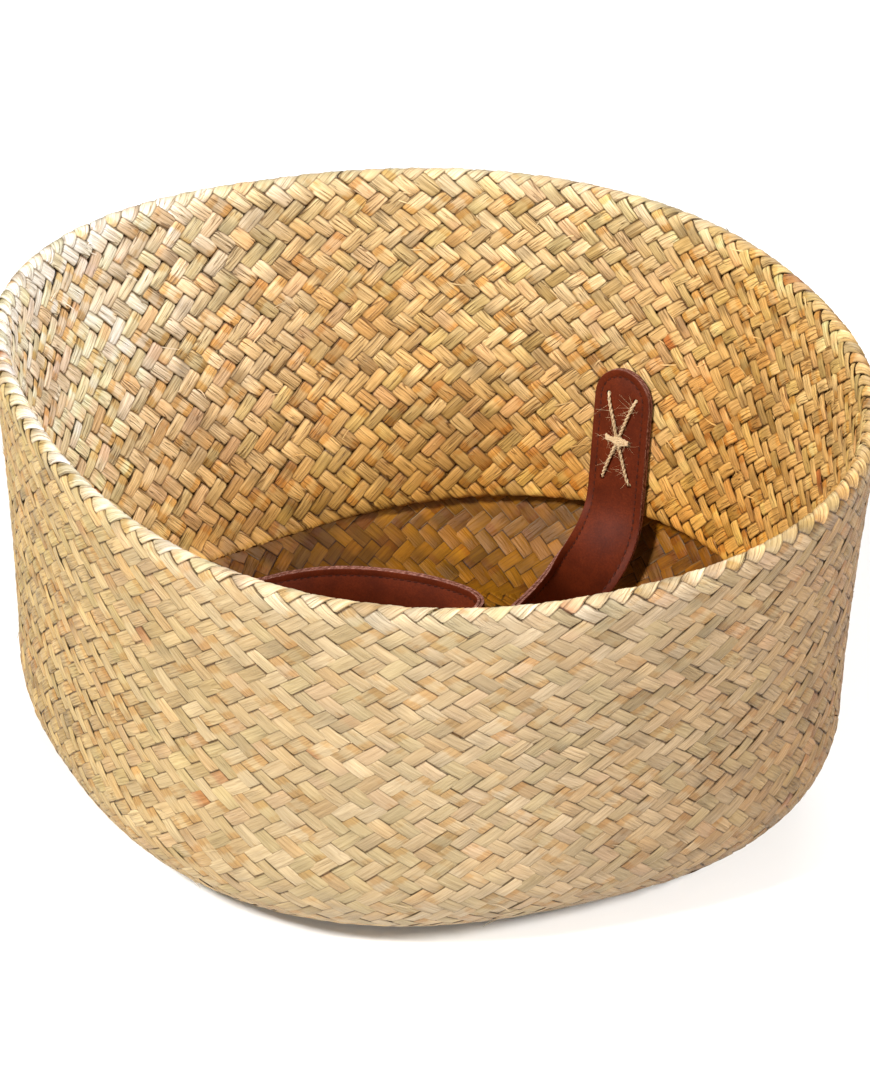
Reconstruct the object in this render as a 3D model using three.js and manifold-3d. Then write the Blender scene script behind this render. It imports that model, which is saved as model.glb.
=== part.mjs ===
// A soft plaited seagrass basket whose upper half is turned down inside as a deep collar.
// Two stitched leather straps hang from the collar and lie in loops on the basket's floor.
// Millimetres, +Z up, the origin on the ground under the middle of the basket.
// An azimuth runs clockwise, seen from above, from the back of the basket, which is +Y.

import * as THREE from 'three';
import { mergeVertices } from 'three/addons/utils/BufferGeometryUtils.js';
import Module from 'manifold-3d';

const wasm = await Module();
wasm.setup();

// The fold that forms the rim, seen from above
const rimLong = 369;
const rimShort = 331;
const rimTurn = -22.5; // azimuth of the long way across
const rimSquareness = 2.24; // 2 is an oval, more is squarer

// The foot, were its lower edge not rounded
const footLong = 323;
const footShort = 313;
const footTurn = -24;
const footSquareness = 2.4;
const footEdgeRadius = 42;

// The wall, up to the fold
const wallHeight = 173;
const rimRiseBack = 9.2; // the rim stands higher at the back and lower in front
const rimRiseRight = -1.1;
const rimSagEnds = -3.7; // a slow second wave, low at the back and front
const rimSagDiagonals = 1.3;
const waist = 2.6; // how far the wall draws in at half its height

// The plait, and the collar that is turned down inside
const plaitThickness = 2.4;
const foldGap = 3; // free width inside the fold
const collarStandOff = 2; // what the gap gains on its way down
const collarFootRoom = 2; // between its lower edge and the rounded edge of the foot
const collarEdgeBand = 2; // the sheet's last facet above its lower edge
const collarEdgeHeight = 31;
const collarEdgeTilt = 6;
const collarEdgeWave = 8;

// The straps, two plies of leather
const strapWidth = 28;
const plyThickness = 1.35;
const plyGap = 0.3;
const tabTipHeight = 107; // of each stitched end, above the ground
const tabLength = 57;
const seatGap = 0.4; // between leather and plait
const floorGap = 0.4; // under a strap that lies on the floor
const cutGap = 0.3; // between a stitched end and the loop that swings from it
const straightRun = 9; // of the loop, below the stitched end
const hingeInset = 9; // of the line that the loop swings about, from the strap

// The twine that holds each stitched end, as a cross with a wrapped middle
const twineThickness = 1.8;
const twineClearance = 0.35; // all round, in its holes
const twineLift = 0.3; // off the leather and off the back of the collar
const crossHeight = 38.5;
const crossWidth = 14;
const crossFromTip = 12;
const wrapLength = 12;
const wrapThickness = 3.4;
const twineOverlap = 0.5; // of each leg past the twine that it meets

const aroundSteps = 60;
const bendSteps = 4;
const runSteps = 4;
const seatSteps = 6;
const strapSteps = 52;
const strapFineSteps = 624; // to measure a strap's length by
const strapStrips = 4;
const roundSides = 6;

// Where each strap lies: the azimuths of its two stitched ends, and its route between them.
// A point of the route is an azimuth, a share of the way from the middle out to the collar, the
// height of the strap's lower edge above the floor, and the strap's lean in degrees, which is 0
// lying flat and 90 standing on edge.
const handles = [
  {
    name: 'back_handle',
    ends: [31, 91],
    route: [
      [31, 0.958, 33, 10],
      [30.7, 0.9, 18, 28],
      [29.9, 0.812, 7, 48],
      [29.6, 0.69, 1, 70],
      [29, 0.55, 0, 86],
      [29.2, 0.362, 0, 90],
      [31, 0.148, 0, 90],
      [189.5, 0.075, 0, 90],
      [195, 0.288, 0, 90],
      [189, 0.475, 0, 90],
      [178.5, 0.58, 0, 90],
      [163, 0.58, 0, 90],
      [140, 0.508, 0, 90],
      [114, 0.545, 0, 86],
      [98, 0.69, 1, 68],
      [92.7, 0.82, 7, 44],
      [91.2, 0.928, 22, 16],
    ],
  },
  {
    name: 'front_handle',
    ends: [271, 211],
    route: [
      [271.6, 0.928, 22, -16],
      [275, 0.83, 7, -44],
      [292, 0.72, 1, -72],
      [317, 0.7, 0, -90],
      [337, 0.68, 0, -90],
      [358, 0.58, 0, -90],
      [15, 0.5, 0, -90],
      [19.5, 0.455, 0, -90],
      [16, 0.385, 0, -90],
      [329, 0.111, 0, -90],
      [236, 0.242, 0, -90],
      [219, 0.459, 0, -86],
      [214, 0.675, 1, -68],
      [212.2, 0.82, 7, -44],
      [211.4, 0.922, 22, -16],
    ],
  },
];

const plaitColour = 0xc9a466;
const faceColour = 0x5e2a1a;
const liningColour = 0x6b3526;
const twineColour = 0xc8a876;

const up = new THREE.Vector3(0, 0, 1);
const strapThickness = 2 * plyThickness + plyGap;
const foldThickness = 2 * plaitThickness + foldGap;
const collarReach = footEdgeRadius - 2 * plaitThickness - collarFootRoom;
// The rounded edge of the foot pushes the collar inwards from this height down
const collarPushedBelow =
  footEdgeRadius - Math.sqrt(collarReach ** 2 - (footEdgeRadius - foldThickness - collarStandOff) ** 2);
const radians = THREE.MathUtils.degToRad;

// The level direction that an azimuth points in
const outward = (azimuth) => new THREE.Vector3(Math.sin(azimuth), Math.cos(azimuth), 0);

// Distance from the middle to a rounded, slightly square outline
function outline(long, short, turn, squareness, azimuth) {
  const across = Math.abs(Math.sin(azimuth - radians(turn))) / (short / 2);
  const along = Math.abs(Math.cos(azimuth - radians(turn))) / (long / 2);
  return (across ** squareness + along ** squareness) ** (-1 / squareness);
}

const footRadius = (azimuth) => outline(footLong, footShort, footTurn, footSquareness, azimuth);

function rimHeight(azimuth) {
  return (
    wallHeight +
    rimRiseBack * Math.cos(azimuth) +
    rimRiseRight * Math.sin(azimuth) +
    rimSagEnds * Math.cos(2 * azimuth) +
    rimSagDiagonals * Math.sin(2 * azimuth)
  );
}

function edgeHeight(azimuth) {
  return collarEdgeHeight + collarEdgeTilt * Math.sin(azimuth) + collarEdgeWave * Math.sin(2 * azimuth);
}

// The wall's outer face, above the rounded edge of the foot, as if that edge were square
function wallRadius(azimuth, height) {
  const share = height / rimHeight(azimuth);
  const rim = outline(rimLong, rimShort, rimTurn, rimSquareness, azimuth);
  return footRadius(azimuth) * (1 - share) + rim * share - waist * 4 * share * (1 - share);
}

// The collar's face that looks into the basket. Low down it keeps out of the wall's rounded edge
function collarRadius(azimuth, height) {
  const top = rimHeight(azimuth);
  const down = (top - height) / (top - edgeHeight(azimuth));
  const hung = foldThickness + collarStandOff * down;
  const below = Math.max(footEdgeRadius - height, 0);
  const pushed = footEdgeRadius - Math.sqrt(collarReach ** 2 - below ** 2);
  return wallRadius(azimuth, height) - Math.max(hung, pushed);
}

// Numbers from one to another in equal steps, both included
const steps = (from, to, count) =>
  Array.from({ length: count + 1 }, (_, i) => from + ((to - from) * i) / count);

// The sheet cut at one azimuth, as points of radius and height from the middle of its underside,
// out and up the wall, over the fold, down the collar and back inside it
function sheetSection(azimuth) {
  const rim = rimHeight(azimuth);
  const foldRadius = foldThickness / 2;
  const foldHeight = rim - foldRadius;
  const foldMiddle = wallRadius(azimuth, foldHeight) - foldRadius;
  const edge = edgeHeight(azimuth);
  const low = Math.max(edge + collarEdgeBand, collarPushedBelow);
  const insideEdge = footEdgeRadius - plaitThickness;
  const flat = footRadius(azimuth) - footEdgeRadius;
  const points = [];
  const corner = (radius, angle) => {
    const height = footEdgeRadius - radius * Math.cos(angle);
    const draw = footEdgeRadius - radius * Math.sin(angle);
    points.push([wallRadius(azimuth, height) - draw, height]);
  };
  const fold = (radius, angle) =>
    points.push([foldMiddle + radius * Math.cos(angle), foldHeight + radius * Math.sin(angle)]);

  points.push([flat / 2, 0]);
  steps(0, Math.PI / 2, bendSteps).forEach((angle) => corner(footEdgeRadius, angle));
  steps(footEdgeRadius, foldHeight, runSteps)
    .slice(1, -1)
    .forEach((height) => points.push([wallRadius(azimuth, height), height]));
  steps(0, Math.PI, bendSteps + 1).forEach((angle) => fold(foldRadius, angle));
  const downCollar = [...steps(foldHeight, low, runSteps).slice(1), edge];
  downCollar.forEach((height) => points.push([collarRadius(azimuth, height), height]));
  downCollar
    .reverse()
    .forEach((height) => points.push([collarRadius(azimuth, height) + plaitThickness, height]));
  steps(Math.PI, 0, bendSteps - 1).forEach((angle) => fold(foldRadius - plaitThickness, angle));
  steps(foldHeight, footEdgeRadius, runSteps)
    .slice(1, -1)
    .forEach((height) => points.push([wallRadius(azimuth, height) - plaitThickness, height]));
  steps(Math.PI / 2, 0, bendSteps).forEach((angle) => corner(insideEdge, angle));
  points.push([flat / 2, plaitThickness]);
  return points;
}

function geometryFrom(positions, indices) {
  const geometry = new THREE.BufferGeometry();
  geometry.setAttribute('position', new THREE.Float32BufferAttribute(positions, 3));
  geometry.setIndex(indices);
  return geometry;
}

function toSolid(geometry) {
  const bare = geometry.clone();
  bare.deleteAttribute('normal');
  bare.deleteAttribute('uv');
  const merged = mergeVertices(bare, 1e-4);
  return new wasm.Manifold(
    new wasm.Mesh({
      numProp: 3,
      vertProperties: new Float32Array(merged.attributes.position.array),
      triVerts: new Uint32Array(merged.index.array),
    }),
  );
}

function fromSolid(solid) {
  const mesh = solid.getMesh();
  const geometry = geometryFrom(Array.from(mesh.vertProperties), Array.from(mesh.triVerts));
  geometry.computeVertexNormals();
  return geometry;
}

// A straight round rod between two points
function rod(from, to, radius) {
  const geometry = new THREE.CylinderGeometry(radius, radius, from.distanceTo(to), roundSides);
  const along = to.clone().sub(from).normalize();
  const turn = new THREE.Quaternion().setFromUnitVectors(new THREE.Vector3(0, 1, 0), along);
  const middle = from.clone().add(to).multiplyScalar(0.5);
  geometry.applyMatrix4(new THREE.Matrix4().compose(middle, turn, new THREE.Vector3(1, 1, 1)));
  return toSolid(geometry);
}

function meshNamed(name, geometry, colour, roughness) {
  const material = new THREE.MeshStandardMaterial({ color: colour, roughness, metalness: 0 });
  const mesh = new THREE.Mesh(geometry, material);
  mesh.name = name;
  return mesh;
}

// A point on the collar's face that looks into the basket
const collarPoint = (azimuth, height) =>
  outward(azimuth).multiplyScalar(collarRadius(azimuth, height)).setZ(height);

// The seat of one stitched end: its lower middle on the collar, and its own directions, across to
// the right, up the strap and out of the finished face. It stands clear of the curved collar.
function seatAt(azimuth) {
  const foot = tabTipHeight - tabLength;
  const reach = strapWidth / 2 / collarRadius(azimuth, foot);
  const low = collarPoint(azimuth, foot);
  const across = collarPoint(azimuth + reach, foot).sub(collarPoint(azimuth - reach, foot)).normalize();
  const face = across.clone().cross(collarPoint(azimuth, tabTipHeight).sub(low)).normalize();
  const rise = face.clone().cross(across);
  let proud = 0;
  for (const height of steps(foot, tabTipHeight, seatSteps)) {
    for (const side of [-1, 0, 1]) {
      const point = collarPoint(azimuth + side * reach, height);
      proud = Math.max(proud, point.sub(low).dot(face));
    }
  }
  low.addScaledVector(face, proud + seatGap);
  return { azimuth, low, rise, across, face };
}

// A point on a seat, measured across, up the strap and out from the collar
function onSeat(seat, across, rise, out) {
  return seat.low
    .clone()
    .addScaledVector(seat.across, across)
    .addScaledVector(seat.rise, rise)
    .addScaledVector(seat.face, out);
}

const crossHigh = tabLength - crossFromTip;
const crossLow = crossHigh - crossHeight;
const crossCorners = [
  [-crossWidth / 2, crossHigh],
  [crossWidth / 2, crossHigh],
  [crossWidth / 2, crossLow],
  [-crossWidth / 2, crossLow],
];
const holeRadius = twineThickness / 2 + twineClearance;

// One ply of a stitched end, with its rounded tip and four twine holes
function endPly(seat, out) {
  const half = strapWidth / 2;
  const shape = new THREE.Shape();
  shape.moveTo(-half, 0);
  shape.lineTo(half, 0);
  shape.lineTo(half, tabLength - half);
  shape.absarc(0, tabLength - half, half, 0, Math.PI, false);
  shape.lineTo(-half, 0);
  for (const [x, y] of crossCorners) {
    const hole = new THREE.Path();
    hole.absarc(x, y, holeRadius, 0, 2 * Math.PI, true);
    shape.holes.push(hole);
  }
  const settings = { depth: plyThickness, bevelEnabled: false, curveSegments: roundSides };
  const geometry = new THREE.ExtrudeGeometry(shape, settings);
  const place = new THREE.Matrix4().makeBasis(seat.across, seat.rise, seat.face);
  place.setPosition(onSeat(seat, 0, 0, out));
  geometry.applyMatrix4(place);
  return geometry;
}

// How far behind the seat the collar's face lies at the stitches, at its furthest
function seatDepth(seat) {
  let depth = 0;
  for (const [x, y] of [...crossCorners, [0, (crossHigh + crossLow) / 2]]) {
    const point = onSeat(seat, x, y, 0);
    const face = collarPoint(Math.atan2(point.x, point.y), point.z);
    depth = Math.max(depth, point.sub(face).dot(seat.face));
  }
  return depth;
}

// The twine cross on the finished face, its legs through leather and plait, and its ties behind
function crossStitch(seat) {
  const radius = twineThickness / 2;
  const front = strapThickness + twineLift + radius;
  const deepest = seatDepth(seat) + plaitThickness + twineLift + radius;
  const at = (corner, out) => onSeat(seat, corner[0], corner[1], out);
  const [a, b, c, d] = crossCorners;
  const rods = [rod(at(a, front), at(c, front), radius), rod(at(b, front), at(d, front), radius)];
  for (const corner of crossCorners) {
    rods.push(rod(at(corner, front + twineOverlap), at(corner, -deepest - twineOverlap), radius));
  }
  rods.push(rod(at(a, -deepest), at(d, -deepest), radius));
  rods.push(rod(at(b, -deepest), at(c, -deepest), radius));
  const middle = (crossHigh + crossLow) / 2;
  const behind = (side) => [(side * crossWidth) / 2, middle];
  rods.push(rod(at(behind(-1), -deepest), at(behind(1), -deepest), radius));
  const wrapOut = strapThickness + twineLift + wrapThickness / 2;
  const wrap = (side) => onSeat(seat, (side * wrapLength) / 2, middle, wrapOut);
  rods.push(rod(wrap(-1), wrap(1), wrapThickness / 2));
  return fromSolid(rods.reduce((whole, one) => whole.add(one)));
}

// The line that a strap lies along, with the direction across the strap, at even steps
function strapLine(handle, seats) {
  const [first, last] = seats;
  const bottom = (seat) => onSeat(seat, 0, 0, strapThickness / 2);
  const points = [];
  const leans = [];
  const add = (point, lean) => {
    points.push(point);
    leans.push(radians(lean));
  };
  add(bottom(first).addScaledVector(first.rise, -cutGap), 0);
  add(bottom(first).addScaledVector(first.rise, -straightRun), 0);
  for (const [azimuth, share, lift, lean] of handle.route) {
    const turn = radians(azimuth);
    const reach = share * collarRadius(turn, tabTipHeight - tabLength);
    const halfHeight = (strapWidth / 2) * Math.abs(Math.sin(radians(lean)));
    const height = plaitThickness + floorGap + lift + halfHeight;
    add(outward(turn).multiplyScalar(reach).setZ(height), lean);
  }
  add(bottom(last).addScaledVector(last.rise, -straightRun), 0);
  add(bottom(last).addScaledVector(last.rise, -cutGap), 0);

  const line = new THREE.CatmullRomCurve3(points, false, 'centripetal');
  const sides = points.map((point, i) => {
    const before = points[Math.max(i - 1, 0)];
    const after = points[Math.min(i + 1, points.length - 1)];
    if (i < 2) return first.across.clone();
    if (i > points.length - 3) return last.across.clone().negate();
    const heading = after.clone().sub(before).setZ(0).normalize();
    const left = new THREE.Vector3(-heading.y, heading.x, 0);
    return left.multiplyScalar(Math.cos(leans[i])).addScaledVector(up, -Math.sin(leans[i]));
  });
  const lengths = [];
  for (let i = 0; i <= strapFineSteps; i += 1) {
    const at = line.getPoint(i / strapFineSteps);
    const before = line.getPoint(Math.max(i - 1, 0) / strapFineSteps);
    lengths.push((lengths[i - 1] ?? 0) + at.distanceTo(before));
  }
  const freeLength = lengths[strapFineSteps];
  const stations = steps(0, freeLength, strapSteps).map((length) => {
    let i = 1;
    while (i < strapFineSteps && lengths[i] < length) i += 1;
    const part = (length - lengths[i - 1]) / (lengths[i] - lengths[i - 1]);
    const share = Math.min(Math.max((i - 1 + part) / strapFineSteps, 0), 1);
    const place = share * (points.length - 1);
    const index = Math.min(Math.floor(place), points.length - 2);
    const across = sides[index].clone().lerp(sides[index + 1], place - index);
    const along = line.getTangent(share);
    across.addScaledVector(along, -across.dot(along)).normalize();
    return { point: line.getPoint(share), across, face: along.clone().cross(across) };
  });
  return { stations, freeLength };
}

// One ply of a strap along its line, between two distances from the line on the face's side
function loopPly(stations, back, front) {
  const half = strapWidth / 2;
  const widths = steps(-half, half, strapStrips);
  const widthsBack = steps(half, -half, strapStrips);
  const rings = stations.map(({ point, across, face }) => {
    const at = (width, out) =>
      point.clone().addScaledVector(across, width).addScaledVector(face, out);
    return [...widths.map((w) => at(w, front)), ...widthsBack.map((w) => at(w, back))];
  });
  const size = rings[0].length;
  const positions = rings.flat().flatMap((p) => [p.x, p.y, p.z]);
  const indices = [];
  const quad = (a, b, c, d) => indices.push(a, b, c, a, c, d);
  for (let i = 0; i < rings.length - 1; i += 1) {
    for (let j = 0; j < size; j += 1) {
      const k = (j + 1) % size;
      const [a, b] = [i * size + j, i * size + k];
      const [c, d] = [b + size, a + size];
      if (j < strapStrips) quad(a, d, c, b);
      else quad(b, a, d, c);
    }
  }
  const cap = (start, atStart) => {
    for (let j = 0; j < strapStrips; j += 1) {
      const [a, b] = [start + j, start + j + 1];
      const [c, d] = [start + size - 2 - j, start + size - 1 - j];
      if (atStart) quad(a, b, c, d);
      else quad(a, d, c, b);
    }
  };
  cap(0, true);
  cap((rings.length - 1) * size, false);
  return geometryFrom(positions, indices);
}

// The plaited body: base, wall, fold and turned-in collar in one sheet, with the twine's holes
function wovenBody(seats) {
  const rings = steps(0, 2 * Math.PI, aroundSteps)
    .slice(0, -1)
    .map((azimuth) =>
      sheetSection(azimuth).map(([r, z]) => outward(azimuth).multiplyScalar(r).setZ(z)),
    );
  const size = rings[0].length;
  const positions = rings.flat().flatMap((p) => [p.x, p.y, p.z]);
  const under = rings.length * size;
  positions.push(0, 0, 0, 0, 0, plaitThickness);
  const indices = [];
  rings.forEach((_, i) => {
    const here = i * size;
    const next = ((i + 1) % rings.length) * size;
    for (let j = 0; j < size - 1; j += 1) {
      indices.push(here + j, here + j + 1, next + j + 1, here + j, next + j + 1, next + j);
    }
    indices.push(under, here, next, under + 1, next + size - 1, here + size - 1);
  });
  let sheet = toSolid(geometryFrom(positions, indices));
  for (const seat of seats) {
    const through = seatDepth(seat) + plaitThickness + foldGap / 2;
    for (const [x, y] of crossCorners) {
      sheet = sheet.subtract(rod(onSeat(seat, x, y, plyGap), onSeat(seat, x, y, -through), holeRadius));
    }
  }
  return fromSolid(sheet);
}

const basket = new THREE.Group();
const allSeats = handles.map(({ ends }) => ends.map((azimuth) => seatAt(radians(azimuth))));
basket.add(meshNamed('woven_body', wovenBody(allSeats.flat()), plaitColour, 0.75));

// One strap: two plies at each stitched end, the twine cross there, and the loop between them
handles.forEach((handle, i) => {
  const strap = new THREE.Group();
  const seats = allSeats[i];
  const faceOut = plyThickness + plyGap;
  seats.forEach((seat, j) => {
    const name = `${handle.name}_${['left', 'right'][j]}_end`;
    strap.add(meshNamed(`${name}_lining`, endPly(seat, 0), liningColour, 0.7));
    strap.add(meshNamed(`${name}_face`, endPly(seat, faceOut), faceColour, 0.45));
    strap.add(meshNamed(`${name}_cross_stitch`, crossStitch(seat), twineColour, 0.9));
  });
  const { stations, freeLength } = strapLine(handle, seats);
  const half = strapThickness / 2;
  const lining = loopPly(stations, -half, -half + plyThickness);
  const face = loopPly(stations, half - plyThickness, half);
  strap.add(meshNamed(`${handle.name}_loop_lining`, lining, liningColour, 0.7));
  strap.add(meshNamed(`${handle.name}_loop_face`, face, faceColour, 0.45));
  // The loop swings up about a level line, a little inside its two stitched ends
  const [from, to] = seats.map((seat) => onSeat(seat, 0, 0, strapThickness / 2));
  const inward = outward((seats[0].azimuth + seats[1].azimuth) / 2).negate();
  const middle = from.clone().add(to).multiplyScalar(0.5).addScaledVector(inward, hingeInset);
  strap.userData.hinge = { middle, axis: inward.clone().cross(up), freeLength };
  basket.add(strap);
});

export default basket;
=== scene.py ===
import math

import bpy
import numpy as np
from mathutils import Matrix, Vector


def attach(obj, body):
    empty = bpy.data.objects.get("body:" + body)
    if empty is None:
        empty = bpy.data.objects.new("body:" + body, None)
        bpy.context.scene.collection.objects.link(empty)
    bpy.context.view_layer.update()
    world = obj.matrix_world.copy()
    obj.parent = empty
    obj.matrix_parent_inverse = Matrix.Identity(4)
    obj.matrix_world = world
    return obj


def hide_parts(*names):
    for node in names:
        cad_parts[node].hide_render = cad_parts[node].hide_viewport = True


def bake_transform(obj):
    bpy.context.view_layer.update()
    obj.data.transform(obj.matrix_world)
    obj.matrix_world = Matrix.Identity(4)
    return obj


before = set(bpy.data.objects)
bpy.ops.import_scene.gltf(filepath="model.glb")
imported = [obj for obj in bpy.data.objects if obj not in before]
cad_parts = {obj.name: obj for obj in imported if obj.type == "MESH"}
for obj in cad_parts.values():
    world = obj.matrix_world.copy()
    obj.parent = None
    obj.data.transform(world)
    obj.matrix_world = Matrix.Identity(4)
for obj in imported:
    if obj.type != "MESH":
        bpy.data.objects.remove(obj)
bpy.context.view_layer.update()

mm = 0.001

camera = {
    "lens": 149.03,
    "distance": 1776.9,
    "pitch": 27.089,
    "yaw": -0.11,
    "roll": 1.043,
    "target": (2.82, -0.26, 93.0),
}


def placeCamera():
    pitch, yaw, roll = (math.radians(camera[k]) for k in ("pitch", "yaw", "roll"))
    level = math.cos(pitch)
    forward = Vector((math.sin(yaw) * level, math.cos(yaw) * level, -math.sin(pitch)))
    right = Vector((math.cos(yaw), -math.sin(yaw), 0))
    up = right.cross(forward)
    turnedRight = right * math.cos(roll) + up * math.sin(roll)
    turnedUp = up * math.cos(roll) - right * math.sin(roll)
    place = Vector(camera["target"]) * mm - forward * camera["distance"] * mm
    bpy.ops.object.camera_add(location=place)
    eye = bpy.context.object
    eye.name = "photoCamera"
    turn = Matrix((turnedRight, turnedUp, -forward)).transposed()
    eye.matrix_world = Matrix.Translation(place) @ turn.to_4x4()
    eye.data.lens = camera["lens"]
    eye.data.sensor_width = 36
    eye.data.clip_end = 50
    bpy.context.scene.camera = eye


def addSoftbox(name, box):
    bpy.ops.object.light_add(type="AREA", location=box["place"])
    lamp = bpy.context.object
    lamp.name = name
    lamp.data.shape = "RECTANGLE"
    lamp.data.size, lamp.data.size_y = box["size"]
    lamp.data.energy = box["power"]
    lamp.data.color = studio["lampColour"]
    heading = Vector(studio["aim"]) - Vector(box["place"])
    lamp.rotation_euler = heading.to_track_quat("-Z", "Y").to_euler()


studio = {
    "aim": (0, 0, 0.08),
    "key": {"place": (-1.45, -1.3, 1.75), "size": (0.4, 0.4), "power": 92},
    "front": {"place": (0.2, -2.15, 0.9), "size": (0.8, 0.6), "power": 13},
    "side": {"place": (1.5, -0.9, 1.15), "size": (0.45, 0.45), "power": 54},
    "back": {"place": (0.5, 2.2, 1.3), "size": (1.2, 1.0), "power": 22},
    "world": 0.18,
    "lampColour": (1.0, 0.99, 0.97),
}

placeCamera()
for name in ("key", "front", "side", "back"):
    addSoftbox(name + "Light", studio[name])

world = bpy.data.worlds.new("paleStudio")
bpy.context.scene.world = world
bpy.context.scene.view_settings.view_transform = "Standard"  # colours as they are, on white
world.use_nodes = True
world.node_tree.nodes["Background"].inputs["Color"].default_value = (1, 1, 1, 1)
world.node_tree.nodes["Background"].inputs["Strength"].default_value = studio["world"]
print("camera and lights placed")


class Wire:
    # a socket that can be added, multiplied and so on
    def __init__(self, maker, socket):
        self.maker = maker
        self.socket = socket

    def join(self, kind, *others):
        values = [o.socket if isinstance(o, Wire) else o for o in others]
        return self.maker.node("ShaderNodeMath", {"operation": kind}, dict(enumerate(values)))

    def __add__(self, other): return self.join("ADD", self, other)
    def __radd__(self, other): return self.join("ADD", other, self)
    def __sub__(self, other): return self.join("SUBTRACT", self, other)
    def __rsub__(self, other): return self.join("SUBTRACT", other, self)
    def __mul__(self, other): return self.join("MULTIPLY", self, other)
    def __rmul__(self, other): return self.join("MULTIPLY", other, self)
    def __abs__(self): return self.join("ABSOLUTE", self)


class Finish:
    # one node material; node() makes any node from its settings and the values or links of its sockets
    def __init__(self, name):
        self.material = bpy.data.materials.new(name)
        self.material.use_nodes = True
        self.tree = self.material.node_tree
        self.shader = self.tree.nodes["Principled BSDF"]

    def node(self, kind, settings=None, sockets=None, out=0):
        made = self.tree.nodes.new(kind)
        for key, value in (settings or {}).items():
            setattr(made, key, value)
        for key, value in (sockets or {}).items():
            self.feed(made.inputs[key], value)
        return Wire(self, made.outputs[out])

    def feed(self, socket, value):
        if isinstance(value, Wire):
            value = value.socket
        if isinstance(value, bpy.types.NodeSocket):
            self.tree.links.new(value, socket)
        else:
            socket.default_value = value

    def set(self, **sockets):
        for key, value in sockets.items():
            self.feed(self.shader.inputs[key.replace("_", " ")], value)

    def mix(self, share, first, second, kind="MIX"):
        made = self.tree.nodes.new("ShaderNodeMix")
        made.data_type = "RGBA"
        made.blend_type = kind
        for index, value in ((0, share), (6, first), (7, second)):
            if isinstance(value, tuple) and len(value) == 3:
                value = (*value, 1)
            self.feed(made.inputs[index], value)
        return Wire(self, made.outputs[2])

    def span(self, value, low, high, toLow=0.0, toHigh=1.0, smooth=False):
        settings = {"interpolation_type": "SMOOTHSTEP" if smooth else "LINEAR"}
        sockets = {0: value, 1: low, 2: high, 3: toLow, 4: toHigh}
        return self.node("ShaderNodeMapRange", settings, sockets)

    def noise(self, vector, scale, detail=2.0, roughness=0.5):
        sockets = {"Vector": vector, "Scale": scale, "Detail": detail, "Roughness": roughness}
        return self.node("ShaderNodeTexNoise", None, sockets)

    def bump(self, strength, distance, height):
        sockets = {"Strength": strength, "Distance": distance, "Height": height}
        return self.node("ShaderNodeBump", None, sockets)


def straight(red, green, blue):
    # a colour read off a screen, as linear light
    channels = (value / 255 for value in (red, green, blue))
    return tuple(((v + 0.055) / 1.055) ** 2.4 if v > 10 / 255 else v / 12.92 for v in channels)


def unit(vectors):
    return vectors / np.maximum(np.linalg.norm(vectors, axis=-1, keepdims=True), 1e-9)


def lengthAlong(line):
    # how far along a line each of its points lies
    return np.concatenate([[0], np.cumsum(np.linalg.norm(np.diff(line, axis=0), axis=1))])


def readOff(places, length, values):
    # values that are known along a line, read off at other places on it
    return np.stack([np.interp(places, length, column) for column in values.T], 1)


def deselectAll():
    if bpy.context.object and bpy.context.object.mode != "OBJECT":
        bpy.ops.object.mode_set(mode="OBJECT")
    bpy.ops.object.select_all(action="DESELECT")


def pickOnly(piece):
    deselectAll()
    piece.select_set(True)
    bpy.context.view_layer.objects.active = piece


def applyModifier(piece, kind, **settings):
    bpy.ops.object.modifier_add(type=kind)
    for key, value in settings.items():
        setattr(piece.modifiers[-1], key, value)
    bpy.ops.object.modifier_apply(modifier=piece.modifiers[-1].name)


def selectEnd(piece, axis, side):
    # in edit mode, only the faces at one end
    bpy.ops.mesh.select_all(action="DESELECT")
    bpy.ops.object.mode_set(mode="OBJECT")
    for polygon in piece.data.polygons:
        polygon.select = polygon.normal[axis] * side > 0.9
    bpy.ops.object.mode_set(mode="EDIT")


def readAll(items, key, size=3, kind=float):
    # one value or vector of every vertex, corner or face of a mesh
    values = np.zeros(len(items) * size, kind)
    items.foreach_get(key, values)
    return values.reshape(-1, size)


def takeShape(piece):
    # the points and faces of a small shape, which is then removed
    bpy.ops.object.mode_set(mode="OBJECT")
    points = readAll(piece.data.vertices, "co")
    faces = [tuple(p.vertices) for p in piece.data.polygons]
    bpy.data.objects.remove(piece, do_unlink=True)
    return points, faces


def addPiece(name, mesh, material):
    mesh.materials.append(material)
    piece = bpy.data.objects.new(name, mesh)
    bpy.context.collection.objects.link(piece)
    pickOnly(piece)
    return piece


def colourPoints(mesh, name, values):
    values = np.concatenate([values, np.ones((len(values), 1))], 1)
    layer = mesh.color_attributes.new(name=name, type="FLOAT_COLOR", domain="POINT")
    layer.data.foreach_set("color", values.ravel())


paperFloor = {"size": 14, "below": 0.0004, "glowReach": (0.45, 1.1), "glow": 0.55}  # in metres


def layFloor():
    # pale paper that brightens to white away from the basket
    deselectAll()
    bpy.ops.mesh.primitive_plane_add(size=paperFloor["size"], location=(0, 0, -paperFloor["below"]))
    floor = bpy.context.object
    floor.name = "studioFloor"
    paper = Finish("palePaper")
    where = paper.node("ShaderNodeTexCoord", out=3)
    far = paper.node("ShaderNodeVectorMath", {"operation": "LENGTH"}, {0: where}, 1)
    start, end = paperFloor["glowReach"]
    glow = paper.span(far, start, end, 0.0, paperFloor["glow"], smooth=True)
    shade = paper.noise(where, 3.0)
    colour = paper.mix(shade, (0.86, 0.86, 0.86), (0.9, 0.9, 0.9))
    light = paper.mix(glow, (0.0, 0.0, 0.0), (1.0, 1.0, 1.0))
    paper.set(Base_Color=colour, Roughness=paper.span(shade, 0, 1, 0.85, 0.95))
    paper.set(Emission_Color=light, Emission_Strength=1.0)
    floor.data.materials.append(paper.material)


layFloor()

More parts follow.
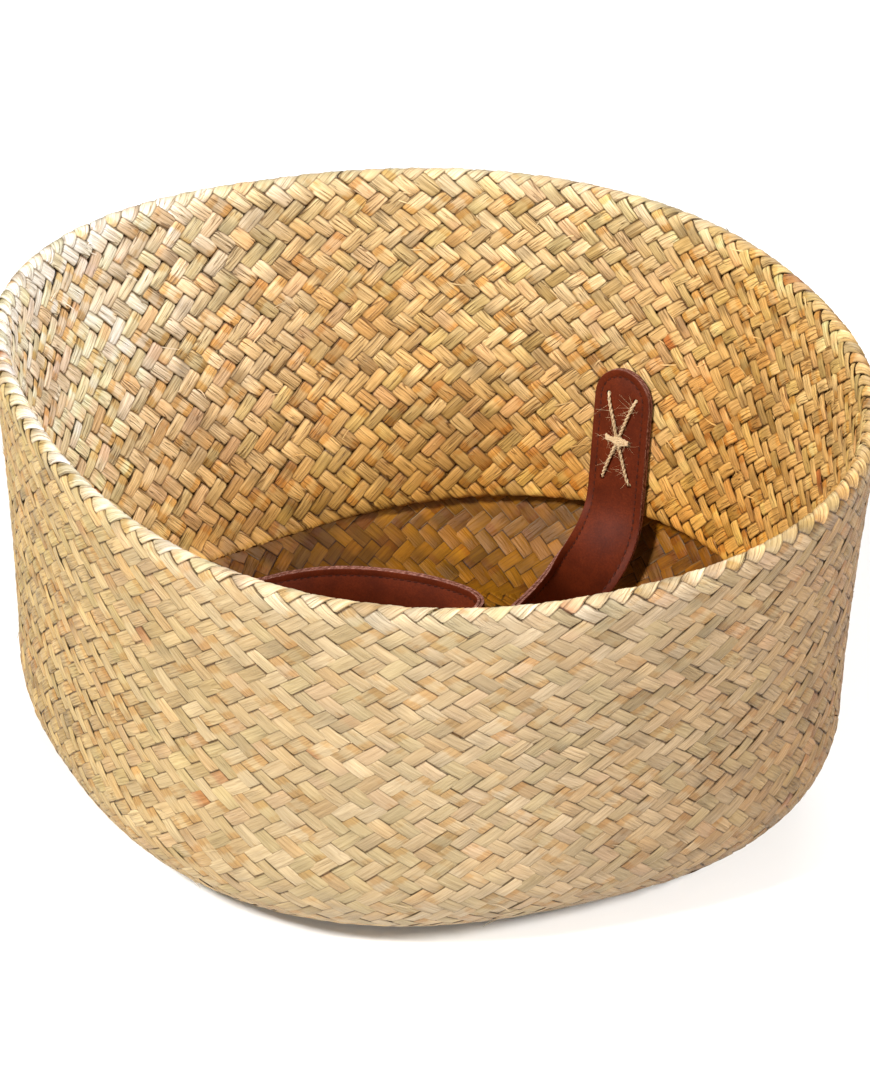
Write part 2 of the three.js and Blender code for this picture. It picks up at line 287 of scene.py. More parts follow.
basketShape = {
    # in mm, as the solids are
    "rim": (369, 331, -22.5, 2.24),  # long and short way, turn in degrees, squareness
    "foot": (323, 313, -24, 2.4),
    "footEdge": 42,  # radius of its rounded edge
    "wallHeight": 173,
    "rimWaves": (9.2, -1.1, -3.7, 1.3),  # rise at the back and right, then the slow second wave
    "waist": 2.6,  # how far the wall draws in at half its height
    "plait": 2.4,  # thickness of the sheet
    "foldGap": 3,  # free width inside the fold
    "collarStandOff": 2,  # what that gap gains on its way down
    "collarFootRoom": 2,  # between the collar's edge and the foot's rounded edge
    "collarEdge": (31, 6, 8),  # height of the collar's edge: middle, tilt to the right, wave
}
foldThickness = 2 * basketShape["plait"] + basketShape["foldGap"]


def outline(size, azimuth):
    long, short, turn, squareness = size
    across = np.abs(np.sin(azimuth - math.radians(turn))) / (short / 2)
    along = np.abs(np.cos(azimuth - math.radians(turn))) / (long / 2)
    return (across ** squareness + along ** squareness) ** (-1 / squareness)


def rimHeight(azimuth):
    back, right, ends, diagonals = basketShape["rimWaves"]
    height = basketShape["wallHeight"] + (back * np.cos(azimuth) + right * np.sin(azimuth))
    return height + ends * np.cos(2 * azimuth) + diagonals * np.sin(2 * azimuth)


def edgeHeight(azimuth):
    middle, tilt, wave = basketShape["collarEdge"]
    return middle + tilt * np.sin(azimuth) + wave * np.sin(2 * azimuth)


def wallRadius(azimuth, height):
    share = height / rimHeight(azimuth)
    foot, rim = (outline(basketShape[key], azimuth) for key in ("foot", "rim"))
    return foot * (1 - share) + rim * share - basketShape["waist"] * 4 * share * (1 - share)


def collarRadius(azimuth, height):
    top = rimHeight(azimuth)
    down = (top - height) / (top - edgeHeight(azimuth))
    hung = foldThickness + basketShape["collarStandOff"] * down
    footEdge = basketShape["footEdge"]
    reach = footEdge - 2 * basketShape["plait"] - basketShape["collarFootRoom"]
    # low down the foot's rounded edge pushes it inwards
    pushed = footEdge - np.sqrt(reach ** 2 - np.clip(footEdge - height, 0, reach) ** 2)
    return wallRadius(azimuth, height) - np.maximum(hung, pushed)


plait = {
    "sideStrips": 30,  # strips of one lean along one side of the base
    "baseReach": 134,  # how far from the middle, along the sheet, the square base ends
    "basePitch": 8.4,
    "wallRows": 52.5,  # crossings from the base to the top of the fold
    "collarRows": 38.0,  # and on to the collar's edge
    "tuckRows": 2.6,  # turned back behind that edge
    "tuckRowRoom": 4.3,
    "tuckBend": 1.35,
    "edgeRoom": 1,  # that the tuck leaves under itself
    # a row's height: on the wall, how much more it is low down and over how many rows that fades,
    # how much more near the fold, from which row and over how many, then the same for the collar's edge
    "wallRowRoom": (3.25, 0.9, 5, 0.15, 40, 12),
    "collarRowRoom": (3.5, 0.6),
    "rowTableSteps": (243, 129),
    "pitch": 4.2,  # of the strips around the wall
    "clearOfFloor": 0.02,
    "squareBase": (0.25, 0.7),  # share of the base that is square, and over which it rounds off
    "ringsAt": (0.0, 0.3, 0.5, 0.7),  # of one strip, from crossing to crossing
    # each pair: where the plait is firm, on the wall, and where it is looser, on the collar and base
    "lift": (0.3, 0.6),  # of a strip on top, above the middle of the sheet
    "bow": (0.08, 0.24),  # and how much more between two crossings
    "dive": 0.4,  # share of the way between two crossings in which a strip goes under
    "pinch": (0.06, 0.22),  # how much narrower it is there
    "thickness": (0.52, 0.94),
    "fullness": (1.11, 1.07),  # width against the room between its neighbours
    "flat": (0.84, 0.58),  # share of the width that lies flat
    "round": (0.0, 0.42),  # how much lower that flat's edges are than its middle
    "looseSides": 0.6,  # how loose the wall's sides are, the collar being 1
    "looseBase": 1.1,
    "looseOver": 3,  # rows over which it changes
    # low down the strips lie closer, so that no light comes through
    "closeRows": (22, 8),  # rows above the base, and over how many this fades
    "closeFullness": 0.06,
    "closePinch": 0.7,
    "groups": 8,
    "seed": 11,
}
wobble = {"width": 0.05, "slide": 0.05, "tilt": math.radians(3), "lift": 0.06, "thickness": 0.1}
sideStrips = plait["sideStrips"]
halfSide = sideStrips / 2
aroundPitches = 4 * sideStrips


def rowTable(spacing):
    sums = np.concatenate([[0], np.cumsum(spacing)])
    return sums / sums[-1]


def rowTables():
    # where each row lies on the wall and on the collar, as places in rows and shares of the way
    wallSteps, collarSteps = plait["rowTableSteps"]
    wallPlaces = np.linspace(0, plait["wallRows"], wallSteps)
    collarPlaces = np.linspace(0, plait["collarRows"], collarSteps)
    rows = (wallPlaces[1:] + wallPlaces[:-1]) / 2
    room, more, fading, last, lastFrom, lastOver = plait["wallRowRoom"]
    wall = room + more * np.exp(-rows / fading) + last * np.clip((rows - lastFrom) / lastOver, 0, 1)
    rows = (collarPlaces[1:] + collarPlaces[:-1]) / 2
    room, more = plait["collarRowRoom"]
    collar = room + more * rows / plait["collarRows"]
    return (wallPlaces, rowTable(wall)), (collarPlaces, rowTable(collar))


wallTable, collarTable = rowTables()
turnSteps = np.linspace(0, 2 * math.pi, 1441)
turnStart = math.radians(basketShape["foot"][2])


def azimuthTable():
    azimuths = turnSteps + turnStart
    radius = (outline(basketShape["foot"], azimuths) + outline(basketShape["rim"], azimuths)) / 2
    reach = lengthAlong(np.stack([radius * np.sin(azimuths), radius * np.cos(azimuths)], 1))
    return reach / reach[-1] * aroundPitches


azimuthPitches = azimuthTable()


def azimuthAt(place):
    whole = np.floor(place / aroundPitches)
    turned = np.interp(place - whole * aroundPitches, azimuthPitches, turnSteps)
    return turned + turnStart + whole * 2 * math.pi


def sheetAt(place, row):
    # the middle of the sheet's thickness, by place around, in pitches, and row from the base's middle
    azimuth = azimuthAt(place)
    half = basketShape["plait"] / 2
    footEdge = basketShape["footEdge"]
    bend = footEdge - half
    foldBend = foldThickness / 2 - half
    tuckBend = plait["tuckBend"]
    flat = outline(basketShape["foot"], azimuth) - footEdge
    foldHeight = rimHeight(azimuth) - foldThickness / 2
    wallRun = foldHeight - footEdge
    collarRun = foldHeight - edgeHeight(azimuth) - tuckBend - plait["edgeRoom"]
    top = flat + bend * math.pi / 2 + wallRun + foldBend * math.pi / 2
    end = top + foldBend * math.pi / 2 + collarRun
    base = plait["baseReach"]
    up = row - sideStrips
    down = up - plait["wallRows"]
    beyond = down - plait["collarRows"]
    onWall = base + (top - base) * np.interp(up, *wallTable)
    onCollar = top + (end - top) * np.interp(down, *collarTable)
    length = np.where(up < 0, row / sideStrips * base, np.where(down < 0, onWall, onCollar))
    length = length + np.maximum(beyond, 0) * plait["tuckRowRoom"]
    arc = np.clip((length - flat) / bend, 0, math.pi / 2)
    wall = np.clip(length - flat - bend * math.pi / 2, 0, wallRun)
    fold = np.clip((length - flat - bend * math.pi / 2 - wallRun) / foldBend, 0, math.pi)
    collar = np.clip(length - top - foldBend * math.pi / 2, 0, collarRun)
    tuck = np.clip((length - end) / tuckBend, 0, math.pi)
    tuckRun = np.maximum(length - end - tuckBend * math.pi, 0)
    height = footEdge - bend * np.cos(arc) + wall + foldBend * np.sin(fold) - collar
    height = height - tuckBend * np.sin(tuck) + tuckRun
    radii = [
        collarRadius(azimuth, height) + half + tuckBend * (1 - np.cos(tuck)),
        wallRadius(azimuth, foldHeight) - foldThickness / 2 + foldBend * np.cos(fold),
        wallRadius(azimuth, height) - footEdge + bend * np.sin(arc),
    ]
    radius = np.select([collar > 0, fold > 0, arc > 0], radii, np.minimum(length, flat))
    return np.stack([radius * np.sin(azimuth), radius * np.cos(azimuth), height], -1)


def sheetNormal(place, row, step=0.15):
    # out of the face that shows on the wall and on the collar
    around = sheetAt(place + step, row) - sheetAt(place - step, row)
    up = sheetAt(place, row + step) - sheetAt(place, row - step)
    return unit(np.cross(up, around))


def aroundPlace(x, y):
    # where around the square base a point lies, in pitches
    big = np.maximum(np.maximum(np.abs(x), np.abs(y)), 1e-6)
    onRight = sideStrips - y / big * halfSide
    onFront = 2 * sideStrips - x / big * halfSide
    onLeft = 3 * sideStrips + y / big * halfSide
    upright = np.where(y > 0, x / big * halfSide, onFront)
    return np.where(np.abs(y) >= np.abs(x), upright, np.where(x > 0, onRight, onLeft))


def baseAt(x, y):
    # a square plait in the middle, which rounds off towards the foot's edge
    share = np.maximum(np.abs(x), np.abs(y)) / halfSide
    rounded = sheetAt(aroundPlace(x, y), share * sideStrips)
    pitch = plait["basePitch"]
    right = pitch * (x * math.cos(turnStart) + y * math.sin(turnStart))
    back = pitch * (y * math.cos(turnStart) - x * math.sin(turnStart))
    square = np.stack([right, back, np.full_like(x, basketShape["plait"] / 2)], -1)
    stillSquare, over = plait["squareBase"]
    blend = np.clip((share - stillSquare) / over, 0, 1)
    blend = (blend * blend * (3 - 2 * blend))[..., None]
    return square * (1 - blend) + rounded * blend


def stripNodes(falls, number):
    # every crossing of one strip, from the collar over the base to the collar on the other side
    reach = sideStrips - abs(number)
    count = int(round(2 * reach)) + 1
    other = np.linspace(-reach, reach, count)
    if falls:
        x, y = (number - other) / 2, (number + other) / 2
        step = (-0.5, 0.5)
    else:
        x, y = (number + other) / 2, (other - number) / 2
        step = (0.5, 0.5)
    return x, y, step


def wallLeg(x, y, outwards):
    # a strip's way up the wall from a point on the side of the base: the place there and its slant
    edge = halfSide - 1e-6
    side = 0 if y >= edge else 1 if x >= edge else 2 if y <= -edge else 3
    slant = (outwards[0], -outwards[1], -outwards[0], outwards[1])[side]
    return float(aroundPlace(np.float64(x), np.float64(y))), slant


def liesOnTop(slant, row):
    # over two and under two, a step further in each row
    return (slant < 0) == (row % 4 in (0, 1))


def wander(random, steps, rows):
    # a slow wander along a strip, about one unit high, with a knot in every so many rows
    span = rows * len(plait["ringsAt"])
    knots = random.normal(0, 1, int(steps / span) + 4)
    places = np.arange(steps) / span
    index = places.astype(int)
    part = places - index
    part = part * part * (3 - 2 * part)
    return knots[index] * (1 - part) + knots[index + 1] * part


def stripRun(falls, number):
    # rings of one strip: their place on the sheet and in the weave, and which way the strips cross it
    ringsAt = np.array(plait["ringsAt"])
    rows = plait["wallRows"] + plait["collarRows"] + plait["tuckRows"]
    x, y, step = stripNodes(falls, number)
    firstPlace, firstSlant = wallLeg(x[0], y[0], (-step[0], -step[1]))
    lastPlace, lastSlant = wallLeg(x[-1], y[-1], step)
    legRows = (np.arange(int(rows) + 1)[:, None] + ringsAt).ravel()
    legRows = legRows[(legRows > 0) & (legRows <= rows)]
    fine = np.append((np.arange(len(x) - 1)[:, None] + ringsAt).ravel(), len(x) - 1)
    baseX = np.interp(fine, np.arange(len(x)), x)
    baseY = np.interp(fine, np.arange(len(x)), y)
    parts = []

    def addPart(at, across, normal, row, place):
        part = {"at": np.stack(at, 1), "across": np.tile(across, (len(row), 1)), "normal": normal}
        parts.append({**part, "row": row, "place": place})

    def addLeg(place, slant, order):
        up = (sideStrips + legRows)[order]
        around = (place + slant * legRows)[order]
        addPart((around, up), (-slant, 1.0), sheetNormal(around, up), up, around)

    addLeg(firstPlace, firstSlant, slice(None, None, -1))
    share = np.maximum(np.abs(baseX), np.abs(baseY)) / halfSide
    down = np.tile([0.0, 0.0, -1.0], (len(fine), 1))
    around = aroundPlace(baseX, baseY)
    edge = sheetNormal(around, np.maximum(share, 0.5) * sideStrips)
    normal = np.where((share > 0.6)[:, None], edge, down)  # the flat of the base faces straight down
    addPart((baseX, baseY), (0.5, 0.5) if falls else (0.5, -0.5), normal, share * sideStrips, around)
    addLeg(lastPlace, lastSlant, slice(None))

    # on top or underneath, at each crossing
    crossings = int(rows) + 2
    states = [liesOnTop(firstSlant, row) for row in range(crossings, 0, -1)]
    for a, b in zip(x, y):
        upright = abs(b) >= abs(a)
        slant = -1 if falls == upright else 1
        states.append(liesOnTop(slant, int(round(2 * max(abs(a), abs(b)))) - sideStrips))
    states += [liesOnTop(lastSlant, row) for row in range(1, crossings + 1)]
    states = np.where(states, 1.0, -1.0)
    run = {key: np.concatenate([part[key] for part in parts]) for key in parts[0]}
    order = np.arange(len(run["row"])) - len(legRows)
    run["onBase"] = (order >= 0) & (order < len(fine))
    at = crossings + np.concatenate([-legRows[::-1], fine, len(x) - 1 + legRows])
    index = np.clip(np.floor(at + 1e-6).astype(int), 0, len(states) - 2)
    part = at - index
    turn = np.clip((part - 0.5) / plait["dive"] + 0.5, 0, 1)
    run["top"] = states[index] * (1 - turn) + states[index + 1] * turn
    sagging = states[index] * states[index + 1] > 0
    run["bow"] = np.where(sagging, np.sin(math.pi * part), 0) * states[index]
    return run


stripColours = {
    "straw": (226, 198, 148),
    "pale": (240, 218, 176),
    "green": (210, 192, 138),
    "pink": (230, 194, 152),
    "tan": (214, 172, 112),
    "olive": (184, 160, 104),
    "rust": (188, 112, 52),
}
paleChances = (0.46, 0.26, 0.05, 0.18, 0.04, 0.01, 0.0)  # in the order of stripColours
greenChances = (0.38, 0.08, 0.4, 0.06, 0.04, 0.04, 0.0)
patchChances = (0.26, 0.2, 0.14, 0.12, 0.14, 0.1, 0.04)
toneAndShade = {
    "wall": (0.49, 0.493, 0.535),
    "wallSides": (0.17, 0.3, 0.62),  # painted shade: how much darker both sides of the wall are made
    "wallToRight": (0.37, 0.39, 0.3),  # and the right one alone, as more painted shade
    "collar": (0.8, 0.78, 0.757),
    # painted light and shade round the collar, along the way to the right: slope, bow and twist
    "collarTurns": ((0.54, 0.62, 0.8), (0.65, 0.78, 1.4), (-1.16, -1.77, -3.5)),
    "turnLimits": (-0.8, 0.76),
    # painted shade: the collar darker and warmer towards its lower edge
    "collarLow": (1.03, 0.78, 0.35),
    "rim": (0.24, 0.36, 0.62),  # how much paler the fold is
    "rimRows": 2.6,
    # painted shade: the inner face, as seen on the floor inside, made dark and warm
    "inside": (0.33, 0.18, 0.004),
    "insideToRight": 0.5,  # painted shade: how much paler the base is made there, leaving its left darker
    "insideUneven": 0.3,
    "edges": 0.85,  # what a strip's edges keep of its colour: partly their own darker cut fibres, partly painted shade between strips
    "lowEdges": 0.2,  # and, as darker painted shade in the gaps, up to so many rows above the base
    "lowRows": 8,
    "calm": (0.5, 0.7),  # how much more even the wall is, and how much of that the looser plait loses
    "brightest": 0.95,
}
mixing = {
    # each wander along a strip: its rows, how much it counts and what is added
    "second": (4, 0.45, 0.35),  # share of the strip's second tone
    "patch": (2, 1.2, -1.0),  # and of its third
    "stainAndEndShade": (2, 0.7, 0.1),
    "shadeRows": 1.3,
    "shade": (0.08, 0.09),  # how much a strip's shade wanders, and how much more where it is looser
    "stripShade": 0.05,  # and differs from strip to strip
    "shadeLimits": (0.6, 1.3),
    "unevenRows": 1.2,
    "stripUneven": 0.5,
    "unevenLimits": (-0.9, 1.6),
}


def looseness(place, row):
    # 0 where the plait is firm, as on the wall's front and back, and 1 on the collar
    up = row - sideStrips
    over = plait["looseOver"]
    sides = plait["looseSides"] * np.sin(azimuthAt(place)) ** 2
    onCollar = np.clip((up - plait["wallRows"] + over) / (2 * over), 0, 1)
    onBase = np.clip(-up / over, 0, 1)
    return sides * (1 - onCollar - onBase) + onCollar + plait["looseBase"] * onBase


def toneAndShadeAt(place, row):
    # the plait's tint by its place around and its row: its own tone, with painted light and shade by
    # region
    tints = {key: np.array(value) for key, value in toneAndShade.items()}
    turn = np.sin(azimuthAt(place))[:, None]
    past = (row - sideStrips - plait["wallRows"])[:, None]  # rows past the top of the fold
    onCollar = np.clip(past / 2 + 0.5, 0, 1)
    low = np.clip(past / plait["collarRows"], 0, 1) ** 2
    # painted shade on both sides of the wall, more on the right
    wall = tints["wall"] * (1 - tints["wallToRight"] * turn - tints["wallSides"] * turn ** 2)
    # painted light and shade round the collar
    held = np.clip(turn, *toneAndShade["turnLimits"])
    slope, bow, twist = tints["collarTurns"]
    collar = tints["collar"] * (1 + slope * held + bow * held ** 2 + twist * held ** 3)
    # painted shade towards the collar's lower edge
    collar = collar * (1 - low + low * tints["collarLow"])
    rim = 1 + tints["rim"] * np.exp(-(past / toneAndShade["rimRows"]) ** 2)
    return (wall * (1 - onCollar) + collar * onCollar) * rim


def mixedStripColours(random, run, pale):
    # colour along one strip: its own tone, wandering to a second one, with patches of a third
    count = len(run["row"])

    def drift(key):
        rows, much, more = mixing[key]
        return np.clip(wander(random, count, rows) * much + more, 0, 1)[:, None]

    tones = np.array([straight(*colour) for colour in stripColours.values()])
    chances = paleChances if pale else greenChances
    picks = [random.choice(len(tones), p=p) for p in (chances, chances, patchChances)]
    first, second, third = tones[picks]
    share, patch = drift("second"), drift("patch")
    colour = first * (1 - share) + second * share
    colour = colour * (1 - patch) + third * patch
    loose = looseness(run["place"], run["row"])[:, None]
    even, lost = toneAndShade["calm"]
    calm = even * np.clip(1 - lost * loose, 0, 1)
    colour = colour * (1 - calm) + tones[0] * calm
    much, more = mixing["shade"]
    shade = random.normal() * mixing["stripShade"]
    shade = shade + (much + more * loose) * wander(random, count, mixing["shadeRows"])[:, None]
    shade = np.clip(1 + shade, *mixing["shadeLimits"])
    colour = np.minimum(colour * toneAndShadeAt(run["place"], run["row"]) * shade, toneAndShade["brightest"])
    stainAndEndShade = drift("stainAndEndShade")[:, 0] * np.clip(1 - np.abs(run["bow"]) * 1.1, 0, 1)  # none on its bows, so it also darkens the float ends as painted shade
    uneven = wander(random, count, mixing["unevenRows"]) + mixing["stripUneven"] * random.normal()
    # stains with painted shade at the float ends, where it lies between under and over (for the painted
    # shade where it dives), and how frayed it is
    weave = np.stack([stainAndEndShade, 0.5 + 0.5 * run["top"], np.minimum(loose[:, 0], 1)], 1)
    return colour, np.clip(uneven, *mixing["unevenLimits"]), weave


def ringColours(strip):
    # the seven points of a ring: the outer face, its darker edges (partly painted shade) and the inner
    # face (painted shade)
    place, row = strip["place"], strip["row"]
    rings = np.repeat(strip["colour"][:, None, :], 7, axis=1)
    turn = np.sin(azimuthAt(place)) * np.clip(row / sideStrips, 0, 1)
    # painted shade: the inner face made dark, darker still towards the base's left
    inside = np.array(toneAndShade["inside"]) / np.array(toneAndShade["wall"])
    inside = inside * (1 + toneAndShade["insideToRight"] * turn)[:, None, None]
    rings[:, (5, 6)] *= inside * (1 + toneAndShade["insideUneven"] * strip["uneven"])[:, None, None]
    # darker edges: partly the cut fibres' own colour, partly painted shade, much darker low down
    low = (row < sideStrips + toneAndShade["lowRows"])[:, None, None]
    rings[:, (0, 4)] *= np.where(low, toneAndShade["lowEdges"] * inside, toneAndShade["edges"])
    return rings


def sheetUnder(run, aside):
    # the sheet and its normals, so many pitches aside of a strip's middle along the strips that cross it
    onBase = run["onBase"]
    at = run["at"][:, None, :] + aside[..., None] * run["across"][:, None, :]
    points = np.empty((*aside.shape, 3))
    normals = np.repeat(run["normal"][:, None, :], aside.shape[1], axis=1)
    points[onBase] = baseAt(at[onBase][..., 0], at[onBase][..., 1])
    points[~onBase] = sheetAt(at[~onBase][..., 0], at[~onBase][..., 1])
    normals[~onBase] = sheetNormal(at[~onBase][..., 0], at[~onBase][..., 1])
    return points, normals


def stripMesh(run, random):
    samples = len(run["row"])
    points, normals = sheetUnder(run, np.tile([-0.2, 0.0, 0.2], (samples, 1)))
    middle = points[:, 1]
    sideways = np.cross(run["normal"], np.gradient(middle, axis=0))
    facing = np.sign(np.sum((points[:, 2] - points[:, 0]) * sideways, axis=1))
    loose = looseness(run["place"], run["row"])

    def ofPair(key):
        firm, slack = plait[key]
        return firm + (slack - firm) * loose

    def drift(key, rows):
        return wobble[key] * wander(random, samples, rows)

    rowsUp, fading = plait["closeRows"]
    closer = np.clip((sideStrips + rowsUp - run["row"]) / fading, 0, 1)
    width = ofPair("fullness") + plait["closeFullness"] * closer
    width = width * (1 + wobble["width"] * random.normal())
    narrowing = ofPair("pinch") * (1 - np.abs(run["top"])) * (1 - plait["closePinch"] * closer)
    width = (width * (1 - narrowing + drift("width", 2)))[:, None]
    slide = drift("slide", 4)[:, None]
    slope = np.tan(drift("tilt", 1.6))[:, None]
    lift = ofPair("lift") * run["top"] + ofPair("bow") * run["bow"]
    lift = (lift + drift("lift", 2))[:, None]
    height = (ofPair("thickness") / 2 * (1 + drift("thickness", 3)))[:, None]
    one, flat, shoulder = np.ones(samples), ofPair("flat"), 1 - ofPair("round")
    aside = np.stack([-one, -flat, 0 * one, flat, one], 1) * width / 2 + slide
    points, normals = sheetUnder(run, aside * facing[:, None])
    high = np.stack([0 * one, shoulder, one, shoulder, 0 * one], 1) * height
    level = lift + slope * aside * plait["pitch"]
    over = points + normals * (level + high)[..., None]
    under = points + normals * (level - high)[..., None]
    rings = np.concatenate([over, under[:, (3, 1)]], 1)
    rings[..., 2] = np.maximum(rings[..., 2], plait["clearOfFloor"])  # pressed flat where it stands
    return rings * mm, lengthAlong(middle)


def buildPlaitGroup(name, strips, seagrass):
    # one mesh of closed ribbons from their rings of seven points, with a cap at both ends
    across = np.array([0.0, 0.08, 0.5, 0.92, 1.0, 1.08, 1.92, 2.0])  # round a ring, on the map
    places, quads, caps, uvs, capUvs = [], [], [], [], []
    start = 0
    for strip in strips:
        count, size = strip["rings"].shape[:2]
        places.append(strip["rings"].reshape(-1, 3))
        base = start + np.arange(count - 1)[:, None] * size
        column = np.arange(size)
        following = (column + 1) % size
        corners = [base + column, base + following, base + size + following, base + size + column]
        quads.append(np.stack(corners, -1).ravel())
        caps += [start + column[::-1], start + (count - 1) * size + column]
        u = (strip["length"] / 10 + strip["offset"])[:, None]
        one = np.ones((count - 1, size))
        low, high = across[None, :-1], across[None, 1:]
        corners = [(u[:-1], low), (u[:-1], high), (u[1:], high), (u[1:], low)]
        uvs.append(np.stack([np.stack([a * one, b * one], -1) for a, b in corners], 2).reshape(-1, 2))
        capUvs += [(u[0, 0], across[k]) for k in column[::-1]] + [(u[-1, 0], across[k]) for k in column]
        start += count * size
    points, corners = np.concatenate(places), np.concatenate(quads + caps)
    quadCorners = sum(len(quad) for quad in quads)
    starts = np.concatenate([np.arange(0, quadCorners, 4), quadCorners + np.arange(len(caps)) * size])
    mesh = bpy.data.meshes.new(name)
    mesh.vertices.add(len(points))
    mesh.vertices.foreach_set("co", points.ravel())
    mesh.loops.add(len(corners))
    mesh.loops.foreach_set("vertex_index", corners.astype(np.int32))
    mesh.polygons.add(len(starts))
    mesh.polygons.foreach_set("loop_start", starts.astype(np.int32))
    mesh.update(calc_edges=True)
    mesh.uv_layers.new(name="alongStrip").data.foreach_set("uv", np.concatenate(uvs + [capUvs]).ravel())
    tones = [ringColours(strip).reshape(-1, 3) for strip in strips]
    weaves = [np.repeat(strip["weave"], size, axis=0) for strip in strips]
    colourPoints(mesh, "stripTone", np.concatenate(tones))
    colourPoints(mesh, "stripWeave", np.concatenate(weaves))
    return addPiece(name, mesh, seagrass)


grass = {
    "fibres": (0.5, 6.0),  # noise along and across a strip
    "threads": (1.4, 15.0),
    "splits": (0.3, 4.0),
    "blotches": (1.3, 2.2),
    # what these take from the colour, or add to it
    "fibreTints": ((0.58, 0.5, 0.37), (1.13, 1.13, 1.15)),
    "threadTints": ((0.8, 0.74, 0.62), (1.06, 1.06, 1.06)),
    # amber stains, also carrying painted shade at the float ends
    "soakedAndShaded": (0.86, 0.66, 0.38),
    "split": (0.3, 0.21, 0.12),
    # darker strip edges: partly their own cut fibres, partly painted shade in the creases
    "edge": (0.26, 0.19, 0.1),
    # painted shade where a strip dives under the one crossing it
    "diveShade": (0.2, 0.13, 0.06),
}


def makeSeagrass():
    seagrass = Finish("driedSeagrass")
    node = seagrass.node
    along = node("ShaderNodeUVMap", {"uv_map": "alongStrip"})
    tone = node("ShaderNodeAttribute", {"attribute_name": "stripTone"})
    weave = node("ShaderNodeAttribute", {"attribute_name": "stripWeave"})
    weave = node("ShaderNodeSeparateColor", None, {0: weave}).socket.node
    stainAndEndShade, onTop, frayed = (Wire(seagrass, weave.outputs[k]) for k in range(3))

    def pattern(name, detail, roughness):
        placed = node("ShaderNodeMapping", None, {"Vector": along, "Scale": (*grass[name], 1.0)})
        return seagrass.noise(placed, 1.0, detail, roughness)

    def tinted(share, colour, tint):
        return seagrass.mix(share, colour, tint, "MULTIPLY")

    fibres = pattern("fibres", 3.0, 0.6)
    threads = pattern("threads", 2.0, 0.5)
    ridge = abs(pattern("splits", 1.0, 0.4) - 0.56)
    splits = seagrass.span(ridge, 0.004, 0.022, 1.0, 0.0) * (0.25 + 0.75 * frayed)
    blotches = pattern("blotches", 3.0, 0.6)
    strength = 0.6 + 0.38 * frayed
    shade = seagrass.mix(seagrass.span(fibres, 0.3, 0.75), *grass["fibreTints"])
    colour = tinted(strength, tone, shade)
    shade = seagrass.mix(seagrass.span(threads, 0.35, 0.7), *grass["threadTints"])
    colour = tinted(strength * 0.8, colour, shade)
    # amber stains and blotches, with painted shade at the float ends
    soakedAndShaded = seagrass.span(stainAndEndShade * 0.55 + blotches, 0.66, 0.98)
    colour = tinted(soakedAndShaded * (0.75 + 0.2 * frayed), colour, grass["soakedAndShaded"])
    colour = tinted(splits * 0.8, colour, grass["split"])
    sides = node("ShaderNodeSeparateXYZ", None, {"Vector": along}, 1)
    inFace = node("ShaderNodeMath", {"operation": "PINGPONG"}, {0: sides, 1: 0.5})
    # darker strip edges: partly the cut fibres' own colour, partly painted shade in the creases
    edge = seagrass.span(inFace + 0.04 * (fibres - 0.5), 0.005, 0.045, 1.0, 0.0)
    colour = tinted(edge * 0.7, colour, grass["edge"])
    # painted shade where a strip dives under the one crossing it
    under = seagrass.span(abs(2 * onTop - 1), 0.05, 0.6, 1.0, 0.0)
    colour = tinted(under, colour, grass["diveShade"])
    bump = seagrass.bump(0.8, 0.0006, fibres * 0.7 + threads * 0.35 - splits * 0.8)
    seagrass.set(Base_Color=colour, Roughness=seagrass.span(fibres, 0.2, 0.8, 0.62, 0.44), Normal=bump)
    seagrass.set(Specular_IOR_Level=0.32)
    return seagrass.material


def buildPlait(seagrass):
    random = np.random.default_rng(plait["seed"])
    strips = []
    for falls in (False, True):
        for number in np.arange(-sideStrips + 0.5, sideStrips):
            run = stripRun(falls, number)
            rings, length = stripMesh(run, random)
            colour, uneven, weave = mixedStripColours(random, run, int(number - 0.5) % 2 == 0)
            strip = {**run, "rings": rings, "length": length, "colour": colour, "uneven": uneven}
            # the offset gives each strip fibres of its own
            strips.append({**strip, "weave": weave, "offset": random.uniform(0, 400)})
    size = len(strips) // plait["groups"]
    for k in range(plait["groups"]):
        piece = buildPlaitGroup(f"plait_strips_{k + 1}", strips[k * size:(k + 1) * size], seagrass)
        bpy.ops.object.shade_smooth_by_angle(angle=math.radians(48))
        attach(piece, "basket")
        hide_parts("woven_body")
        print(piece.name, len(piece.data.polygons), "faces")


seagrass = makeSeagrass()
buildPlait(seagrass)
print("plait made")


def layCopies(name, faces, placed, material):
    # many copies of one small shape in one mesh; placed is a list of point arrays
    size = len(placed[0])
    allFaces = [tuple(k * size + v for v in face) for k in range(len(placed)) for face in faces]
    mesh = bpy.data.meshes.new(name)
    mesh.from_pydata((np.concatenate(placed) * mm).tolist(), [], allFaces)
    made = addPiece(name, mesh, material)
    bpy.ops.object.mode_set(mode="EDIT")
    bpy.ops.mesh.select_all(action="SELECT")
    bpy.ops.mesh.normals_make_consistent(inside=False)
    bpy.ops.object.mode_set(mode="OBJECT")
    bpy.ops.object.shade_smooth_by_angle(angle=math.radians(60))
    return made


strays = {
    "count": 260,
    "length": (2.5, 11),
    "width": 0.5,
    "thick": 0.14,
    "point": (0.2, 0.5),  # share of the width and the thickness that its ends keep
    "offSheet": 0.75,
    "rise": (0.3, 2.4),  # of the loose end, off the plait
    "bend": 1.6,
    "ahead": 0.3,  # rows along which its direction is measured
    "onWall": 0.3,  # share of them on the outer wall
    "wallFrom": 4,  # rows above the base
    "tone": (238, 214, 168),
    "shades": (0.7, 1.2),
    "seed": 23,
}


